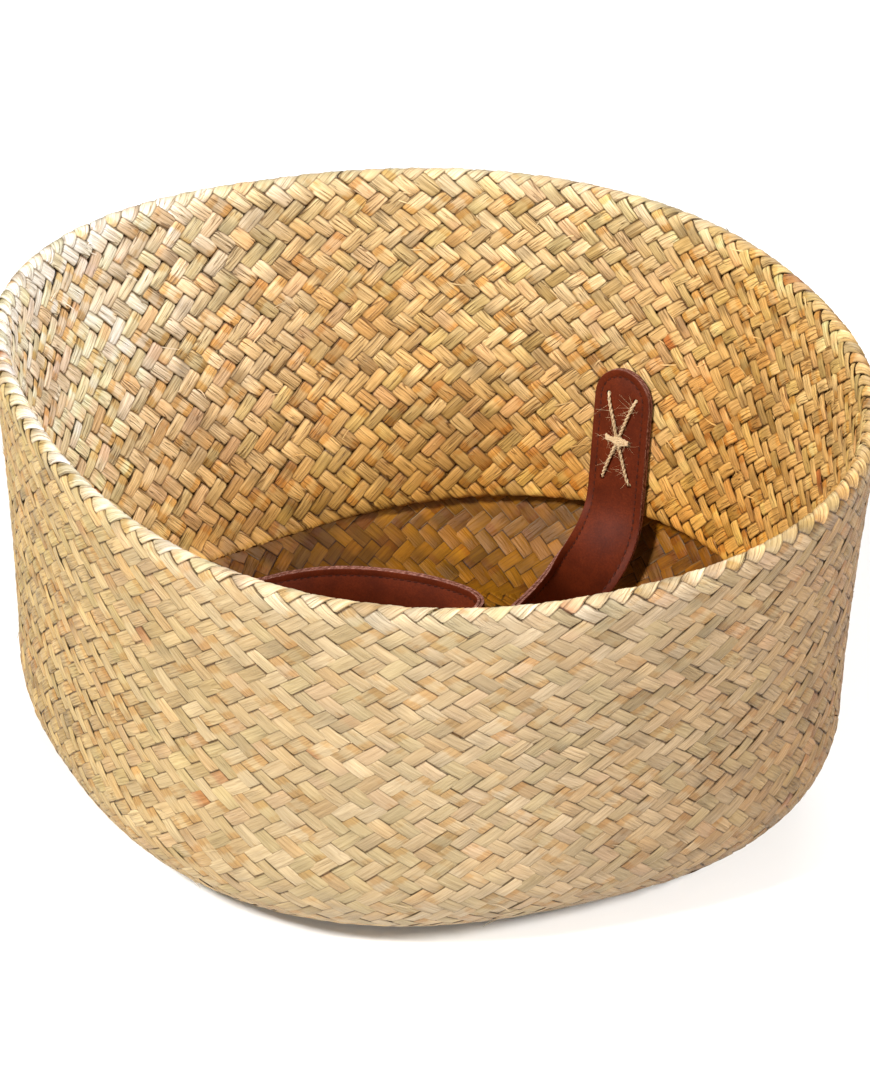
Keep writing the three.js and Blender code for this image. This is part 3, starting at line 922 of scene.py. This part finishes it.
def oneSliver():
    # a flat splinter one millimetre long, thinned towards both ends
    deselectAll()
    bpy.ops.mesh.primitive_cube_add(size=1)
    sliver = bpy.context.object
    bpy.ops.object.mode_set(mode="EDIT")
    bpy.ops.transform.resize(value=(1, strays["width"], strays["thick"]))
    for place in (-0.25, 0, 0.25):
        bpy.ops.mesh.select_all(action="SELECT")
        bpy.ops.mesh.bisect(plane_co=(place, 0, 0), plane_no=(1, 0, 0))
    for side in (1, -1):
        selectEnd(sliver, 0, side)
        bpy.ops.transform.resize(value=(1, *strays["point"]))
    return takeShape(sliver)


def buildStrays(seagrass):
    random = np.random.default_rng(strays["seed"])
    points, faces = oneSliver()
    share = points[:, :1] + 0.5  # of the way along it
    placed, tones = [], []
    for _ in range(strays["count"]):
        onWall = random.random() < strays["onWall"]
        first = sideStrips + (strays["wallFrom"] if onWall else plait["wallRows"])
        last = sideStrips + plait["wallRows"] + (0 if onWall else plait["collarRows"] - 1)
        place, row = random.uniform(0, aroundPitches), random.uniform(first, last)
        slant = random.choice((-1, 1))
        ahead = random.choice((-strays["ahead"], strays["ahead"]))
        foot, normal = sheetAt(place, row), sheetNormal(place, row)
        along = unit(sheetAt(place + slant * ahead, row + ahead) - foot)
        side = np.cross(normal, along)
        length = random.uniform(*strays["length"])
        rise = random.uniform(*strays["rise"])
        bend = random.normal() * strays["bend"]
        up = normal * (strays["offSheet"] + rise * share ** 2 + points[:, 2:])
        placed.append(foot + along * length * share + side * (points[:, 1:2] + bend * share ** 2) + up)
        tone = straight(*strays["tone"]) * toneAndShadeAt(np.array([place]), np.array([row]))
        tones.append(np.repeat(tone * random.uniform(*strays["shades"]), len(points), axis=0))
    made = layCopies("plait_stray_fibres", faces, placed, seagrass)
    uv = np.full((len(made.data.loops), 2), 0.5)
    made.data.uv_layers.new(name="alongStrip").data.foreach_set("uv", uv.ravel())
    tones = np.concatenate(tones)
    colourPoints(made.data, "stripTone", tones)
    colourPoints(made.data, "stripWeave", np.tile([0.0, 1.0, 1.0], (len(tones), 1)))
    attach(made, "basket")
    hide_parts("woven_body")


buildStrays(seagrass)
print("stray fibres made")

strapShape = {
    "width": 28,
    "thickness": 3,
    "ply": 1.44,
    "tipHeight": 107,
    "tabLength": 57,  # of the stitched end, from the tip
    "seatGap": 0.4,
    "floorGap": 0.4,
    "cutGap": 0.3,  # in the solids, between the stitched end and the loop
    "straightRun": 9,
    "seamInset": 3.2,
    "seamDepth": 0.3,
    "seamHalf": 0.55,
    "edgeBand": 0.5,
    "edgeRound": 0.32,
    "rowStep": 2.6,  # along the strap
    "tipSides": 56,
    "stations": (58, 621),  # of a stitched end and of the loop, before they are evened out
    "stiffTip": 50,  # of each end, held by its stitches
    "evening": 90,
    "hole": 2.5,
    "holeSides": 14,
    "bend": (0.0525, 0.0335),  # heights between which a strap turns when its loop is lifted, in metres
}
seam = {
    "step": 3.1,
    "stitch": 2.0,
    "thread": 0.4,
    "slant": 7,  # degrees
    "proud": 0.14,  # of the groove's floor
    "flatness": 0.8,
    "inwards": 0.05,
}
cross = {
    "height": 38.5,
    "width": 14,
    "fromTip": 12,
    "thick": 1.5,
    "strands": 2,
    "twist": 4.4,  # length of one turn of its strands
    "proud": 0.25,  # of the leather
    "over": 0.5,  # how much higher the upper leg runs where they cross
    "dip": 1.3,  # towards its holes
    "behind": 1.4,  # of the ties, behind the sheet
    "wraps": 4,
    "wrapLength": 11.5,
    "wrapRoom": 2.6,  # height of the wrapped bar
    "wrapTwist": 3.4,
    "fuzz": 140,
    "fuzzLength": (1.2, 7),
    "fuzzThick": (0.055, 0.02),
    "seed": 5,
}
# ends: azimuths of the two stitched ends. route: azimuth, share of the way out to the collar,
# lift off the floor, lean in degrees (0 lying flat, 90 standing on edge)
handles = {
    "back_handle": {
        "ends": (31, 91),
        "route": (
            (31, 0.958, 33, 10), (30.7, 0.9, 18, 28), (29.9, 0.812, 7, 48), (29.6, 0.69, 1, 70),
            (29, 0.55, 0, 86), (29.2, 0.362, 0, 90), (31, 0.148, 0, 90), (189.5, 0.075, 0, 90),
            (195, 0.288, 0, 90), (189, 0.475, 0, 90), (178.5, 0.58, 0, 90), (163, 0.58, 0, 90),
            (140, 0.508, 0, 90), (114, 0.545, 0, 86), (98, 0.69, 1, 68), (92.7, 0.82, 7, 44),
            (91.2, 0.928, 22, 16),
        ),
    },
    "front_handle": {
        "ends": (271, 211),
        "route": (
            (271.6, 0.928, 22, -16), (275, 0.83, 7, -44), (292, 0.72, 1, -72), (317, 0.7, 0, -90),
            (337, 0.68, 0, -90), (358, 0.58, 0, -90), (15, 0.5, 0, -90), (19.5, 0.455, 0, -90),
            (16, 0.385, 0, -90), (329, 0.111, 0, -90), (236, 0.242, 0, -90), (219, 0.459, 0, -86),
            (214, 0.675, 1, -68), (212.2, 0.82, 7, -44), (211.4, 0.922, 22, -16),
        ),
    },
}


def outward(azimuth):
    return np.array([math.sin(azimuth), math.cos(azimuth), 0.0])


def collarPoint(azimuth, height):
    return outward(azimuth) * float(collarRadius(azimuth, height)) + np.array([0, 0, height])


def seatAt(azimuth):
    # where a stitched end lies on the collar, with its own directions across, up and out of its face
    foot = strapShape["tipHeight"] - strapShape["tabLength"]
    reach = strapShape["width"] / 2 / float(collarRadius(azimuth, foot))
    low = collarPoint(azimuth, foot)
    across = unit(collarPoint(azimuth + reach, foot) - collarPoint(azimuth - reach, foot))
    face = unit(np.cross(across, collarPoint(azimuth, strapShape["tipHeight"]) - low))
    proud = 0
    for height in np.linspace(foot, strapShape["tipHeight"], 7):
        for side in (-1, 0, 1):
            proud = max(proud, float(np.dot(collarPoint(azimuth + side * reach, height) - low, face)))
    low = low + face * (proud + strapShape["seatGap"])
    return {"low": low, "across": across, "rise": np.cross(face, across), "face": face}


def onSeat(seat, across, rise, out):
    return seat["low"] + seat["across"] * across + seat["rise"] * rise + seat["face"] * out


def curveAt(points, share):
    # a centripetal curve through the points
    points = np.array(points)
    last = len(points) - 1
    place = min(max(share, 0), 1) * last
    index = min(int(place), last - 1)
    part = place - index
    p1, p2 = points[index], points[index + 1]
    p0 = points[index - 1] if index > 0 else 2 * points[0] - points[1]
    p3 = points[index + 2] if index + 2 <= last else 2 * points[last] - points[last - 1]
    d0, d1, d2 = (np.linalg.norm(b - a) ** 0.5 for a, b in ((p0, p1), (p1, p2), (p2, p3)))
    t1 = ((p1 - p0) / d0 - (p2 - p0) / (d0 + d1) + (p2 - p1) / d1) * d1
    t2 = ((p2 - p1) / d1 - (p3 - p1) / (d1 + d2) + (p3 - p2) / d2) * d1
    square, cube = 3 * (p2 - p1) - 2 * t1 - t2, 2 * (p1 - p2) + t1 + t2
    return p1 + t1 * part + square * part ** 2 + cube * part ** 3


def strapFrames(handle, seats):
    # stations every millimetre or so from one tip to the other: length, middle, across and face
    half, tab = strapShape["thickness"] / 2, strapShape["tabLength"]
    first, last = seats
    firstFoot, lastFoot = (onSeat(seat, 0, 0, half) for seat in seats)
    steps = (strapShape["cutGap"], strapShape["straightRun"])
    points = [firstFoot - first["rise"] * step for step in steps]
    leans = [0, 0]
    for azimuth, share, lift, lean in handle["route"]:
        turn = math.radians(azimuth)
        reach = share * float(collarRadius(turn, strapShape["tipHeight"] - tab))
        stand = strapShape["width"] / 2 * abs(math.sin(math.radians(lean)))
        height = basketShape["plait"] + strapShape["floorGap"] + lift + stand
        points.append(outward(turn) * reach + np.array([0, 0, height]))
        leans.append(math.radians(lean))
    points += [lastFoot - last["rise"] * step for step in reversed(steps)]
    leans += [0, 0]
    sides = []
    for i, lean in enumerate(leans):
        heading = points[min(i + 1, len(points) - 1)] - points[max(i - 1, 0)]
        heading = unit(heading * np.array([1, 1, 0]))
        level = np.array([-heading[1], heading[0], 0])
        side = level * math.cos(lean) - np.array([0, 0, 1]) * math.sin(lean)
        sides.append(first["across"] if i < 2 else -last["across"] if i > len(leans) - 3 else side)
    tabStations, loopStations = strapShape["stations"]
    shares = np.linspace(0, 1, loopStations)
    loop = np.array([curveAt(points, share) for share in shares])
    place = shares * (len(points) - 1)
    index = np.minimum(place.astype(int), len(points) - 2)
    part = (place - index)[:, None]
    loopAcross = np.array(sides)[index] * (1 - part) + np.array(sides)[index + 1] * part
    up = np.linspace(tab, 0, tabStations)[:, None]
    line = np.concatenate([firstFoot + first["rise"] * up, loop, (lastFoot + last["rise"] * up)[::-1]])
    tabAcross = [np.tile(side, (tabStations, 1)) for side in (first["across"], -last["across"])]
    across = np.concatenate([tabAcross[0], loopAcross, tabAcross[1]])
    length = lengthAlong(line)
    even = np.linspace(0, length[-1], int(length[-1]) + 1)
    line, across = readOff(even, length, line), readOff(even, length, across)
    free = slice(strapShape["stiffTip"], -strapShape["stiffTip"])
    for _ in range(strapShape["evening"]):  # evens out the bends and the twist of the free part
        for values in (line, across):
            evened = (values[:-2] + 2 * values[1:-1] + values[2:]) / 4
            values[free] = evened[free.start - 1:free.stop + 1]
    length = lengthAlong(line)
    along = unit(np.gradient(line, length, axis=0))
    across = unit(across - along * np.sum(across * along, axis=1, keepdims=True))
    return {"length": length, "line": line, "across": across, "face": np.cross(along, across)}


def layAlong(frames, flat):
    # flat strap points (along, across, out), in mm, laid on the strap's line
    s = np.clip(flat[:, 0], 0, frames["length"][-1])
    keys = ("line", "across", "face")
    line, across, face = (readOff(s, frames["length"], frames[key]) for key in keys)
    return line + unit(across) * flat[:, 1:2] + unit(face) * flat[:, 2:3]


handleColours = {
    "dark": straight(81, 28, 9),
    "light": straight(105, 40, 14),
    "pore": straight(64, 21, 7),
    "worn": straight(130, 60, 28),
    "edgeDark": straight(92, 42, 30),
    "edgeLight": straight(188, 138, 124),
    "threadDark": straight(44, 14, 6),
    "threadLight": straight(82, 32, 16),
    "twineDark": straight(184, 146, 98),
    "twineLight": straight(236, 214, 176),
}


def makeLeather():
    leather = Finish("brownLeather")
    along = leather.node("ShaderNodeUVMap", {"uv_map": "onStrap"})
    cells = {"Vector": along, "Scale": 13.0, "Smoothness": 0.7}
    grain = leather.node("ShaderNodeTexVoronoi", {"feature": "SMOOTH_F1"}, cells)
    pores = leather.noise(along, 40.0, 2.0, 0.6)
    cloud = leather.noise(along, 0.8, 3.0, 0.55)
    worn = leather.span(leather.noise(along, 2.2, 4.0, 0.65), 0.6, 0.74)
    colour = leather.mix(leather.span(cloud, 0.3, 0.7), handleColours["dark"], handleColours["light"])
    colour = leather.mix(leather.span(grain, 0.25, 0.8) * 0.4, colour, handleColours["pore"])
    colour = leather.mix(worn * 0.2, colour, handleColours["worn"])
    bump = leather.bump(0.3, 0.0003, grain * -0.6 + pores * 0.35)
    leather.set(Base_Color=colour, Roughness=leather.span(pores, 0.3, 0.7, 0.56, 0.7), Normal=bump)
    leather.set(Specular_IOR_Level=0.15)
    return leather.material


def makeRawEdge():
    raw = Finish("rawLeatherEdge")
    fibres = raw.noise(raw.node("ShaderNodeUVMap", {"uv_map": "onStrap"}), 6.0, 4.0, 0.7)
    colour = raw.mix(raw.span(fibres, 0.44, 0.66), handleColours["edgeDark"], handleColours["edgeLight"])
    rough = raw.span(fibres, 0.3, 0.7, 0.7, 0.9)
    raw.set(Base_Color=colour, Roughness=rough, Normal=raw.bump(0.5, 0.0003, fibres))
    return raw.material


def makeThread():
    thread = Finish("darkSeamThread")
    twist = thread.noise(thread.node("ShaderNodeTexCoord", out=3), 1600.0, 2.0, 0.5)
    share = thread.span(twist, 0.35, 0.65)
    colour = thread.mix(share, handleColours["threadDark"], handleColours["threadLight"])
    thread.set(Base_Color=colour, Roughness=thread.span(twist, 0.3, 0.7, 0.6, 0.8))
    thread.set(Specular_IOR_Level=0.2)
    return thread.material


def makeTwine():
    twine = Finish("paleTwine")
    fine = twine.noise(twine.node("ShaderNodeTexCoord", out=3), 2600.0, 3.0, 0.6)
    share = twine.span(fine, 0.3, 0.7)
    colour = twine.mix(share, handleColours["twineDark"], handleColours["twineLight"])
    rough = twine.span(fine, 0.3, 0.7, 0.75, 0.9)
    twine.set(Base_Color=colour, Roughness=rough, Normal=twine.bump(0.5, 0.0002, fine))
    return twine.material


def flatPly(name, length, top):
    # a strap's ply drawn flat: a disc pulled long, the seam's groove pressed in, then its thickness
    half = strapShape["width"] / 2
    step = math.pi / strapShape["tipSides"]
    groove = strapShape["seamHalf"]
    deselectAll()
    bpy.ops.mesh.primitive_circle_add(
        vertices=strapShape["tipSides"], radius=half / math.cos(step), fill_type="NGON",
        location=(half, 0, top), rotation=(0, 0, step),
    )
    ply = bpy.context.object
    ply.name = name
    bpy.ops.object.transform_apply(location=True, rotation=True, scale=True)
    bpy.ops.object.mode_set(mode="EDIT")
    bpy.ops.mesh.select_mode(type="VERT")
    bpy.ops.mesh.select_all(action="DESELECT")
    bpy.ops.object.mode_set(mode="OBJECT")
    for vertex in ply.data.vertices:
        vertex.select = vertex.co.x > half
    bpy.ops.object.mode_set(mode="EDIT")
    bpy.ops.transform.translate(value=(length - 2 * half, 0, 0))
    bpy.ops.mesh.select_mode(type="FACE")
    bpy.ops.mesh.select_all(action="SELECT")
    bpy.ops.mesh.inset(thickness=strapShape["edgeBand"])
    bpy.ops.mesh.inset(thickness=strapShape["seamInset"] - (strapShape["edgeBand"] + groove))
    for side in (-1, 1):  # down into the groove and up again
        bpy.ops.mesh.inset(thickness=groove)
        bpy.ops.transform.translate(value=(0, 0, side * strapShape["seamDepth"]))
    for place in np.arange(half + 1, length - half - 0.5, strapShape["rowStep"]):
        bpy.ops.mesh.select_all(action="SELECT")
        bpy.ops.mesh.bisect(plane_co=(place, 0, 0), plane_no=(1, 0, 0))
    bpy.ops.object.mode_set(mode="OBJECT")
    applyModifier(ply, "SOLIDIFY", thickness=strapShape["ply"], offset=-1)
    edges = {"limit_method": "ANGLE", "angle_limit": math.radians(70)}
    applyModifier(ply, "BEVEL", width=strapShape["edgeRound"], segments=2, **edges)
    return ply


def holePlaces(length):
    # the four twine holes of each stitched end, as (along, across) from the strap's first tip
    high, low = cross["fromTip"], cross["fromTip"] + cross["height"]
    side = cross["width"] / 2
    near = [(high, -side), (high, side), (low, side), (low, -side)]
    return near + [(length - a, b) for a, b in near]


def punchHoles(ply, length):
    deselectAll()
    size = {"vertices": strapShape["holeSides"], "radius": strapShape["hole"] / 2, "depth": 8}
    punches = []
    for along, across in holePlaces(length):
        bpy.ops.mesh.primitive_cylinder_add(location=(along, across, 0), **size)
        punches.append(bpy.context.object)
    for punch in punches:
        punch.select_set(True)
    bpy.ops.object.join()
    punch = bpy.context.object
    bpy.ops.object.transform_apply(location=True, rotation=True, scale=True)
    pickOnly(ply)
    applyModifier(ply, "BOOLEAN", operation="DIFFERENCE", solver="EXACT", object=punch)
    bpy.data.objects.remove(punch, do_unlink=True)


def finishPly(ply, frames, materials):
    # map of the flat strap, raw edges on its sides, then laid along its line
    mesh = ply.data
    half = strapShape["width"] / 2
    flat = readAll(mesh.vertices, "co")
    for layer in list(mesh.uv_layers):
        mesh.uv_layers.remove(layer)
    corners = flat[readAll(mesh.loops, "vertex_index", 1, int)[:, 0]]
    uv = corners[:, :2] / 10 + corners[:, 2:3] * 0.1
    mesh.uv_layers.new(name="onStrap").data.foreach_set("uv", uv.ravel())
    normals, centres = readAll(mesh.polygons, "normal"), readAll(mesh.polygons, "center")
    lastMiddle = flat[:, 0].max() - half
    beyond = np.minimum(centres[:, 0] - half, 0) + np.maximum(centres[:, 0] - lastMiddle, 0)
    fromMiddle = np.hypot(beyond, centres[:, 1])
    raw = (np.abs(normals[:, 2]) < 0.55) & (fromMiddle > half - 0.5)
    mesh.materials.clear()
    for material in materials:
        mesh.materials.append(material)
    mesh.polygons.foreach_set("material_index", raw.astype(np.int32))
    mesh.vertices.foreach_set("co", (layAlong(frames, flat) * mm).ravel())
    mesh.update()
    pickOnly(ply)
    bpy.ops.object.mode_set(mode="EDIT")
    bpy.ops.mesh.select_all(action="SELECT")
    bpy.ops.mesh.remove_doubles(threshold=0.000005)
    bpy.ops.object.mode_set(mode="OBJECT")
    bpy.ops.object.shade_smooth_by_angle(angle=math.radians(50))


def seamPlaces(length):
    # stitches all round a strap: (along, across, direction)
    half = strapShape["width"] / 2
    inset = half - strapShape["seamInset"] - seam["inwards"]
    run, bend = length - 2 * half, math.pi * inset
    lap = 2 * run + 2 * bend
    count = int(lap / seam["step"])
    places = []
    for d in (lap * i / count for i in range(count)):
        if d < run:
            places.append((half + d, inset, 0.0))
        elif d < run + bend:
            turn = (d - run) / inset
            places.append((length - half + inset * math.sin(turn), inset * math.cos(turn), -turn))
        elif d < 2 * run + bend:
            places.append((length - half - (d - run - bend), -inset, math.pi))
        else:
            turn = (d - 2 * run - bend) / inset
            places.append((half - inset * math.sin(turn), -inset * math.cos(turn), math.pi - turn))
    return places


def oneStitch():
    # a short thread, drawn in to both ends
    deselectAll()
    bpy.ops.mesh.primitive_cylinder_add(
        vertices=6, radius=seam["thread"], depth=seam["stitch"] * 0.45, end_fill_type="NGON",
    )
    stitch = bpy.context.object
    bpy.ops.object.mode_set(mode="EDIT")
    for side in (1, -1):
        selectEnd(stitch, 2, side)
        outwards = (0, 0, side * seam["stitch"] * 0.27)
        bpy.ops.mesh.extrude_region_move(TRANSFORM_OT_translate={"value": outwards})
        bpy.ops.transform.resize(value=(0.45, 0.45, 1))
    points, faces = takeShape(stitch)
    return points[:, [2, 0, 1]] * np.array([1, -1, 1]), [face[::-1] for face in faces]


def blendStrap(piece):
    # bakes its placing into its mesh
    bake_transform(piece)


def sidesOf(line):
    # two directions across a line, at each of its points
    along = unit(np.gradient(line, axis=0))
    guide = np.array([0, 0, 1.0]) if abs(along[0][2]) < 0.8 else np.array([0, 1.0, 0])
    first = unit(np.cross(along, guide))
    return first, np.cross(along, first)


def tubeMesh(line, radii, sides):
    # a closed tube along points, as vertices and faces
    line = np.asarray(line, float)
    first, second = (side[:, None] for side in sidesOf(line))
    angles = (np.arange(sides) / sides * 2 * math.pi)[None, :, None]
    radii = np.broadcast_to(radii, len(line))[:, None, None]
    rings = line[:, None] + radii * (first * np.cos(angles) + second * np.sin(angles))
    last = (len(line) - 1) * sides
    edges = [(i + j, i + (j + 1) % sides) for i in range(0, last, sides) for j in range(sides)]
    faces = [(a, b, b + sides, a + sides) for a, b in edges]
    faces += [tuple(range(sides))[::-1], tuple(range(last, last + sides))]
    return rings.reshape(-1, 3), faces


def twistedCord(path, thick, strands, twist):
    # strands wound round each other along a path
    path = np.asarray(path, float)
    length = lengthAlong(path)
    fine = np.linspace(0, length[-1], max(int(length[-1] / 0.5), 6))
    line = readOff(fine, length, path)
    first, second = sidesOf(line)
    parts = []
    for k in range(strands):
        angle = ((fine / twist + k / strands) * 2 * math.pi)[:, None]
        offset = first * np.cos(angle) + second * np.sin(angle)
        parts.append(tubeMesh(line + offset * thick * 0.25, thick * 0.29, 6))
    return parts


def crossPlaces():
    # where the strands run on their seat: across, up and out of it
    high = strapShape["tabLength"] - cross["fromTip"]
    low = high - cross["height"]
    surface = strapShape["thickness"]
    return {
        "side": cross["width"] / 2,
        "high": high,
        "middle": (high + low) / 2,
        "low": low,
        "surface": surface,
        "out": surface + cross["proud"] + cross["thick"] / 2,
        "back": -basketShape["plait"] - cross["behind"],
    }


def crossCords(at):
    # two crossed legs through their holes, the wrapped bar over their middle and the ties behind
    side, high, low, back = at["side"], at["high"], at["low"], at["back"]
    cord = (cross["thick"], cross["strands"], cross["twist"])
    hole = at["surface"] - 0.6
    parts = []
    for a, b, over in (((-side, high), (side, low), cross["over"]), ((side, high), (-side, low), 0.0)):
        leg = [(*a, back), (*a, hole)]
        for t in np.linspace(0.03, 0.97, 15):
            rise = at["out"] + over * math.exp(-((t - 0.5) / 0.12) ** 2)
            rise = rise - cross["dip"] * (abs(2 * t - 1) ** 10)
            leg.append((a[0] + (b[0] - a[0]) * t, a[1] + (b[1] - a[1]) * t, rise))
        parts += twistedCord(leg + [(*b, hole), (*b, back)], *cord)
    for k in range(cross["wraps"]):
        start = (k + 0.5) / cross["wraps"] - 0.5
        wrap = []
        for t in np.linspace(0, 1, 13):
            up = at["middle"] + start * cross["wrapRoom"] + 0.5 * math.sin(2.4 * math.pi * t + k)
            rise = at["out"] + 0.7 + 0.75 * math.sin(math.pi * t) - 0.3 * abs(start) * 4
            wrap.append(((t - 0.5) * cross["wrapLength"], up, rise))
        parts += twistedCord(wrap, cross["thick"] * 0.8, 2, cross["wrapTwist"])
    for up in (high, at["middle"], low):
        parts += twistedCord([(-side, up, back), (0, up, back - 0.3), (side, up, back)], *cord)
    return parts


def oneFuzz(at, random):
    # a fine fibre that stands off one of the two legs or the bar
    leg = random.integers(0, 3)
    t = random.uniform(0.05, 0.95)
    x = (-at["side"] + 2 * at["side"] * t) * (1 if leg == 0 else -1)
    y = at["high"] + (at["low"] - at["high"]) * t
    if leg == 2:
        x = random.uniform(-0.55, 0.55) * cross["wrapLength"]
        y = at["middle"] + random.uniform(-1.5, 1.5)
    start = np.array([x, y, at["out"] + random.uniform(-0.2, 0.6)])
    heading = unit(np.array([random.normal(), random.normal(), abs(random.normal()) * 0.5]))
    bend = unit(random.normal(0, 1, 3)) * random.uniform(0.3, 2.4)
    reach = random.uniform(*cross["fuzzLength"])
    line = np.array([start + heading * reach * t + bend * t * t for t in np.linspace(0, 1, 5)])
    line[:, 2] = np.maximum(line[:, 2], at["surface"] + 0.1)  # none goes into the leather
    return tubeMesh(line, np.linspace(*cross["fuzzThick"], 5), 3)


def crossStitch(name, seat, twine, random):
    at = crossPlaces()
    parts = crossCords(at) + [oneFuzz(at, random) for _ in range(cross["fuzz"])]
    faces, start = [], 0
    for points, own in parts:
        faces += [tuple(start + v for v in face) for face in own]
        start += len(points)
    points = np.concatenate([points for points, own in parts])
    placed = onSeat(seat, points[:, :1], points[:, 1:2], points[:, 2:])
    stitch = layCopies(name + "_twine", faces, [placed], twine)
    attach(stitch, "basket")
    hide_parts(name + "_cross_stitch")


def layPlies(name, frames, materials):
    length = frames["length"][-1]
    for layer in ("face", "lining"):
        ply = flatPly(f"{name}_{layer}_ply", length, strapShape["thickness"] / 2)
        if layer == "lining":  # its good side looks the other way
            ply.data.transform(Matrix.Scale(-1, 4, (0, 0, 1)))
            ply.data.flip_normals()
        punchHoles(ply, length)
        finishPly(ply, frames, materials)
        blendStrap(ply)
        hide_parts(*[f"{name}_{part}_{layer}" for part in ("left_end", "right_end", "loop")])


def laySeam(name, frames, stitch, thread):
    points, faces = stitch
    placed = []
    for along, across, turn in seamPlaces(frames["length"][-1]):
        for side in (1, -1):
            angle = turn + math.radians(seam["slant"]) * side
            x = points[:, 0] * math.cos(angle) - points[:, 1] * math.sin(angle)
            y = points[:, 0] * math.sin(angle) + points[:, 1] * math.cos(angle)
            groove = strapShape["thickness"] / 2 - strapShape["seamDepth"]
            out = side * (groove + seam["proud"]) + points[:, 2] * seam["flatness"]
            placed.append(layAlong(frames, np.stack([x + along, y + across, out], 1)))
    stitches = layCopies(name + "_seam", faces, placed, thread)
    blendStrap(stitches)


def buildHandles():
    random = np.random.default_rng(cross["seed"])
    leather, raw, thread, twine = makeLeather(), makeRawEdge(), makeThread(), makeTwine()
    stitch = oneStitch()
    for name, handle in handles.items():
        seats = [seatAt(math.radians(azimuth)) for azimuth in handle["ends"]]
        frames = strapFrames(handle, seats)
        layPlies(name, frames, (leather, raw))
        laySeam(name, frames, stitch, thread)
        for seat, end in zip(seats, ("left", "right")):
            crossStitch(f"{name}_{end}_end", seat, twine, random)
        print(name, "made,", round(float(frames["length"][-1])), "mm long")


buildHandles()
print("handles made")

bpy.context.view_layer.update()
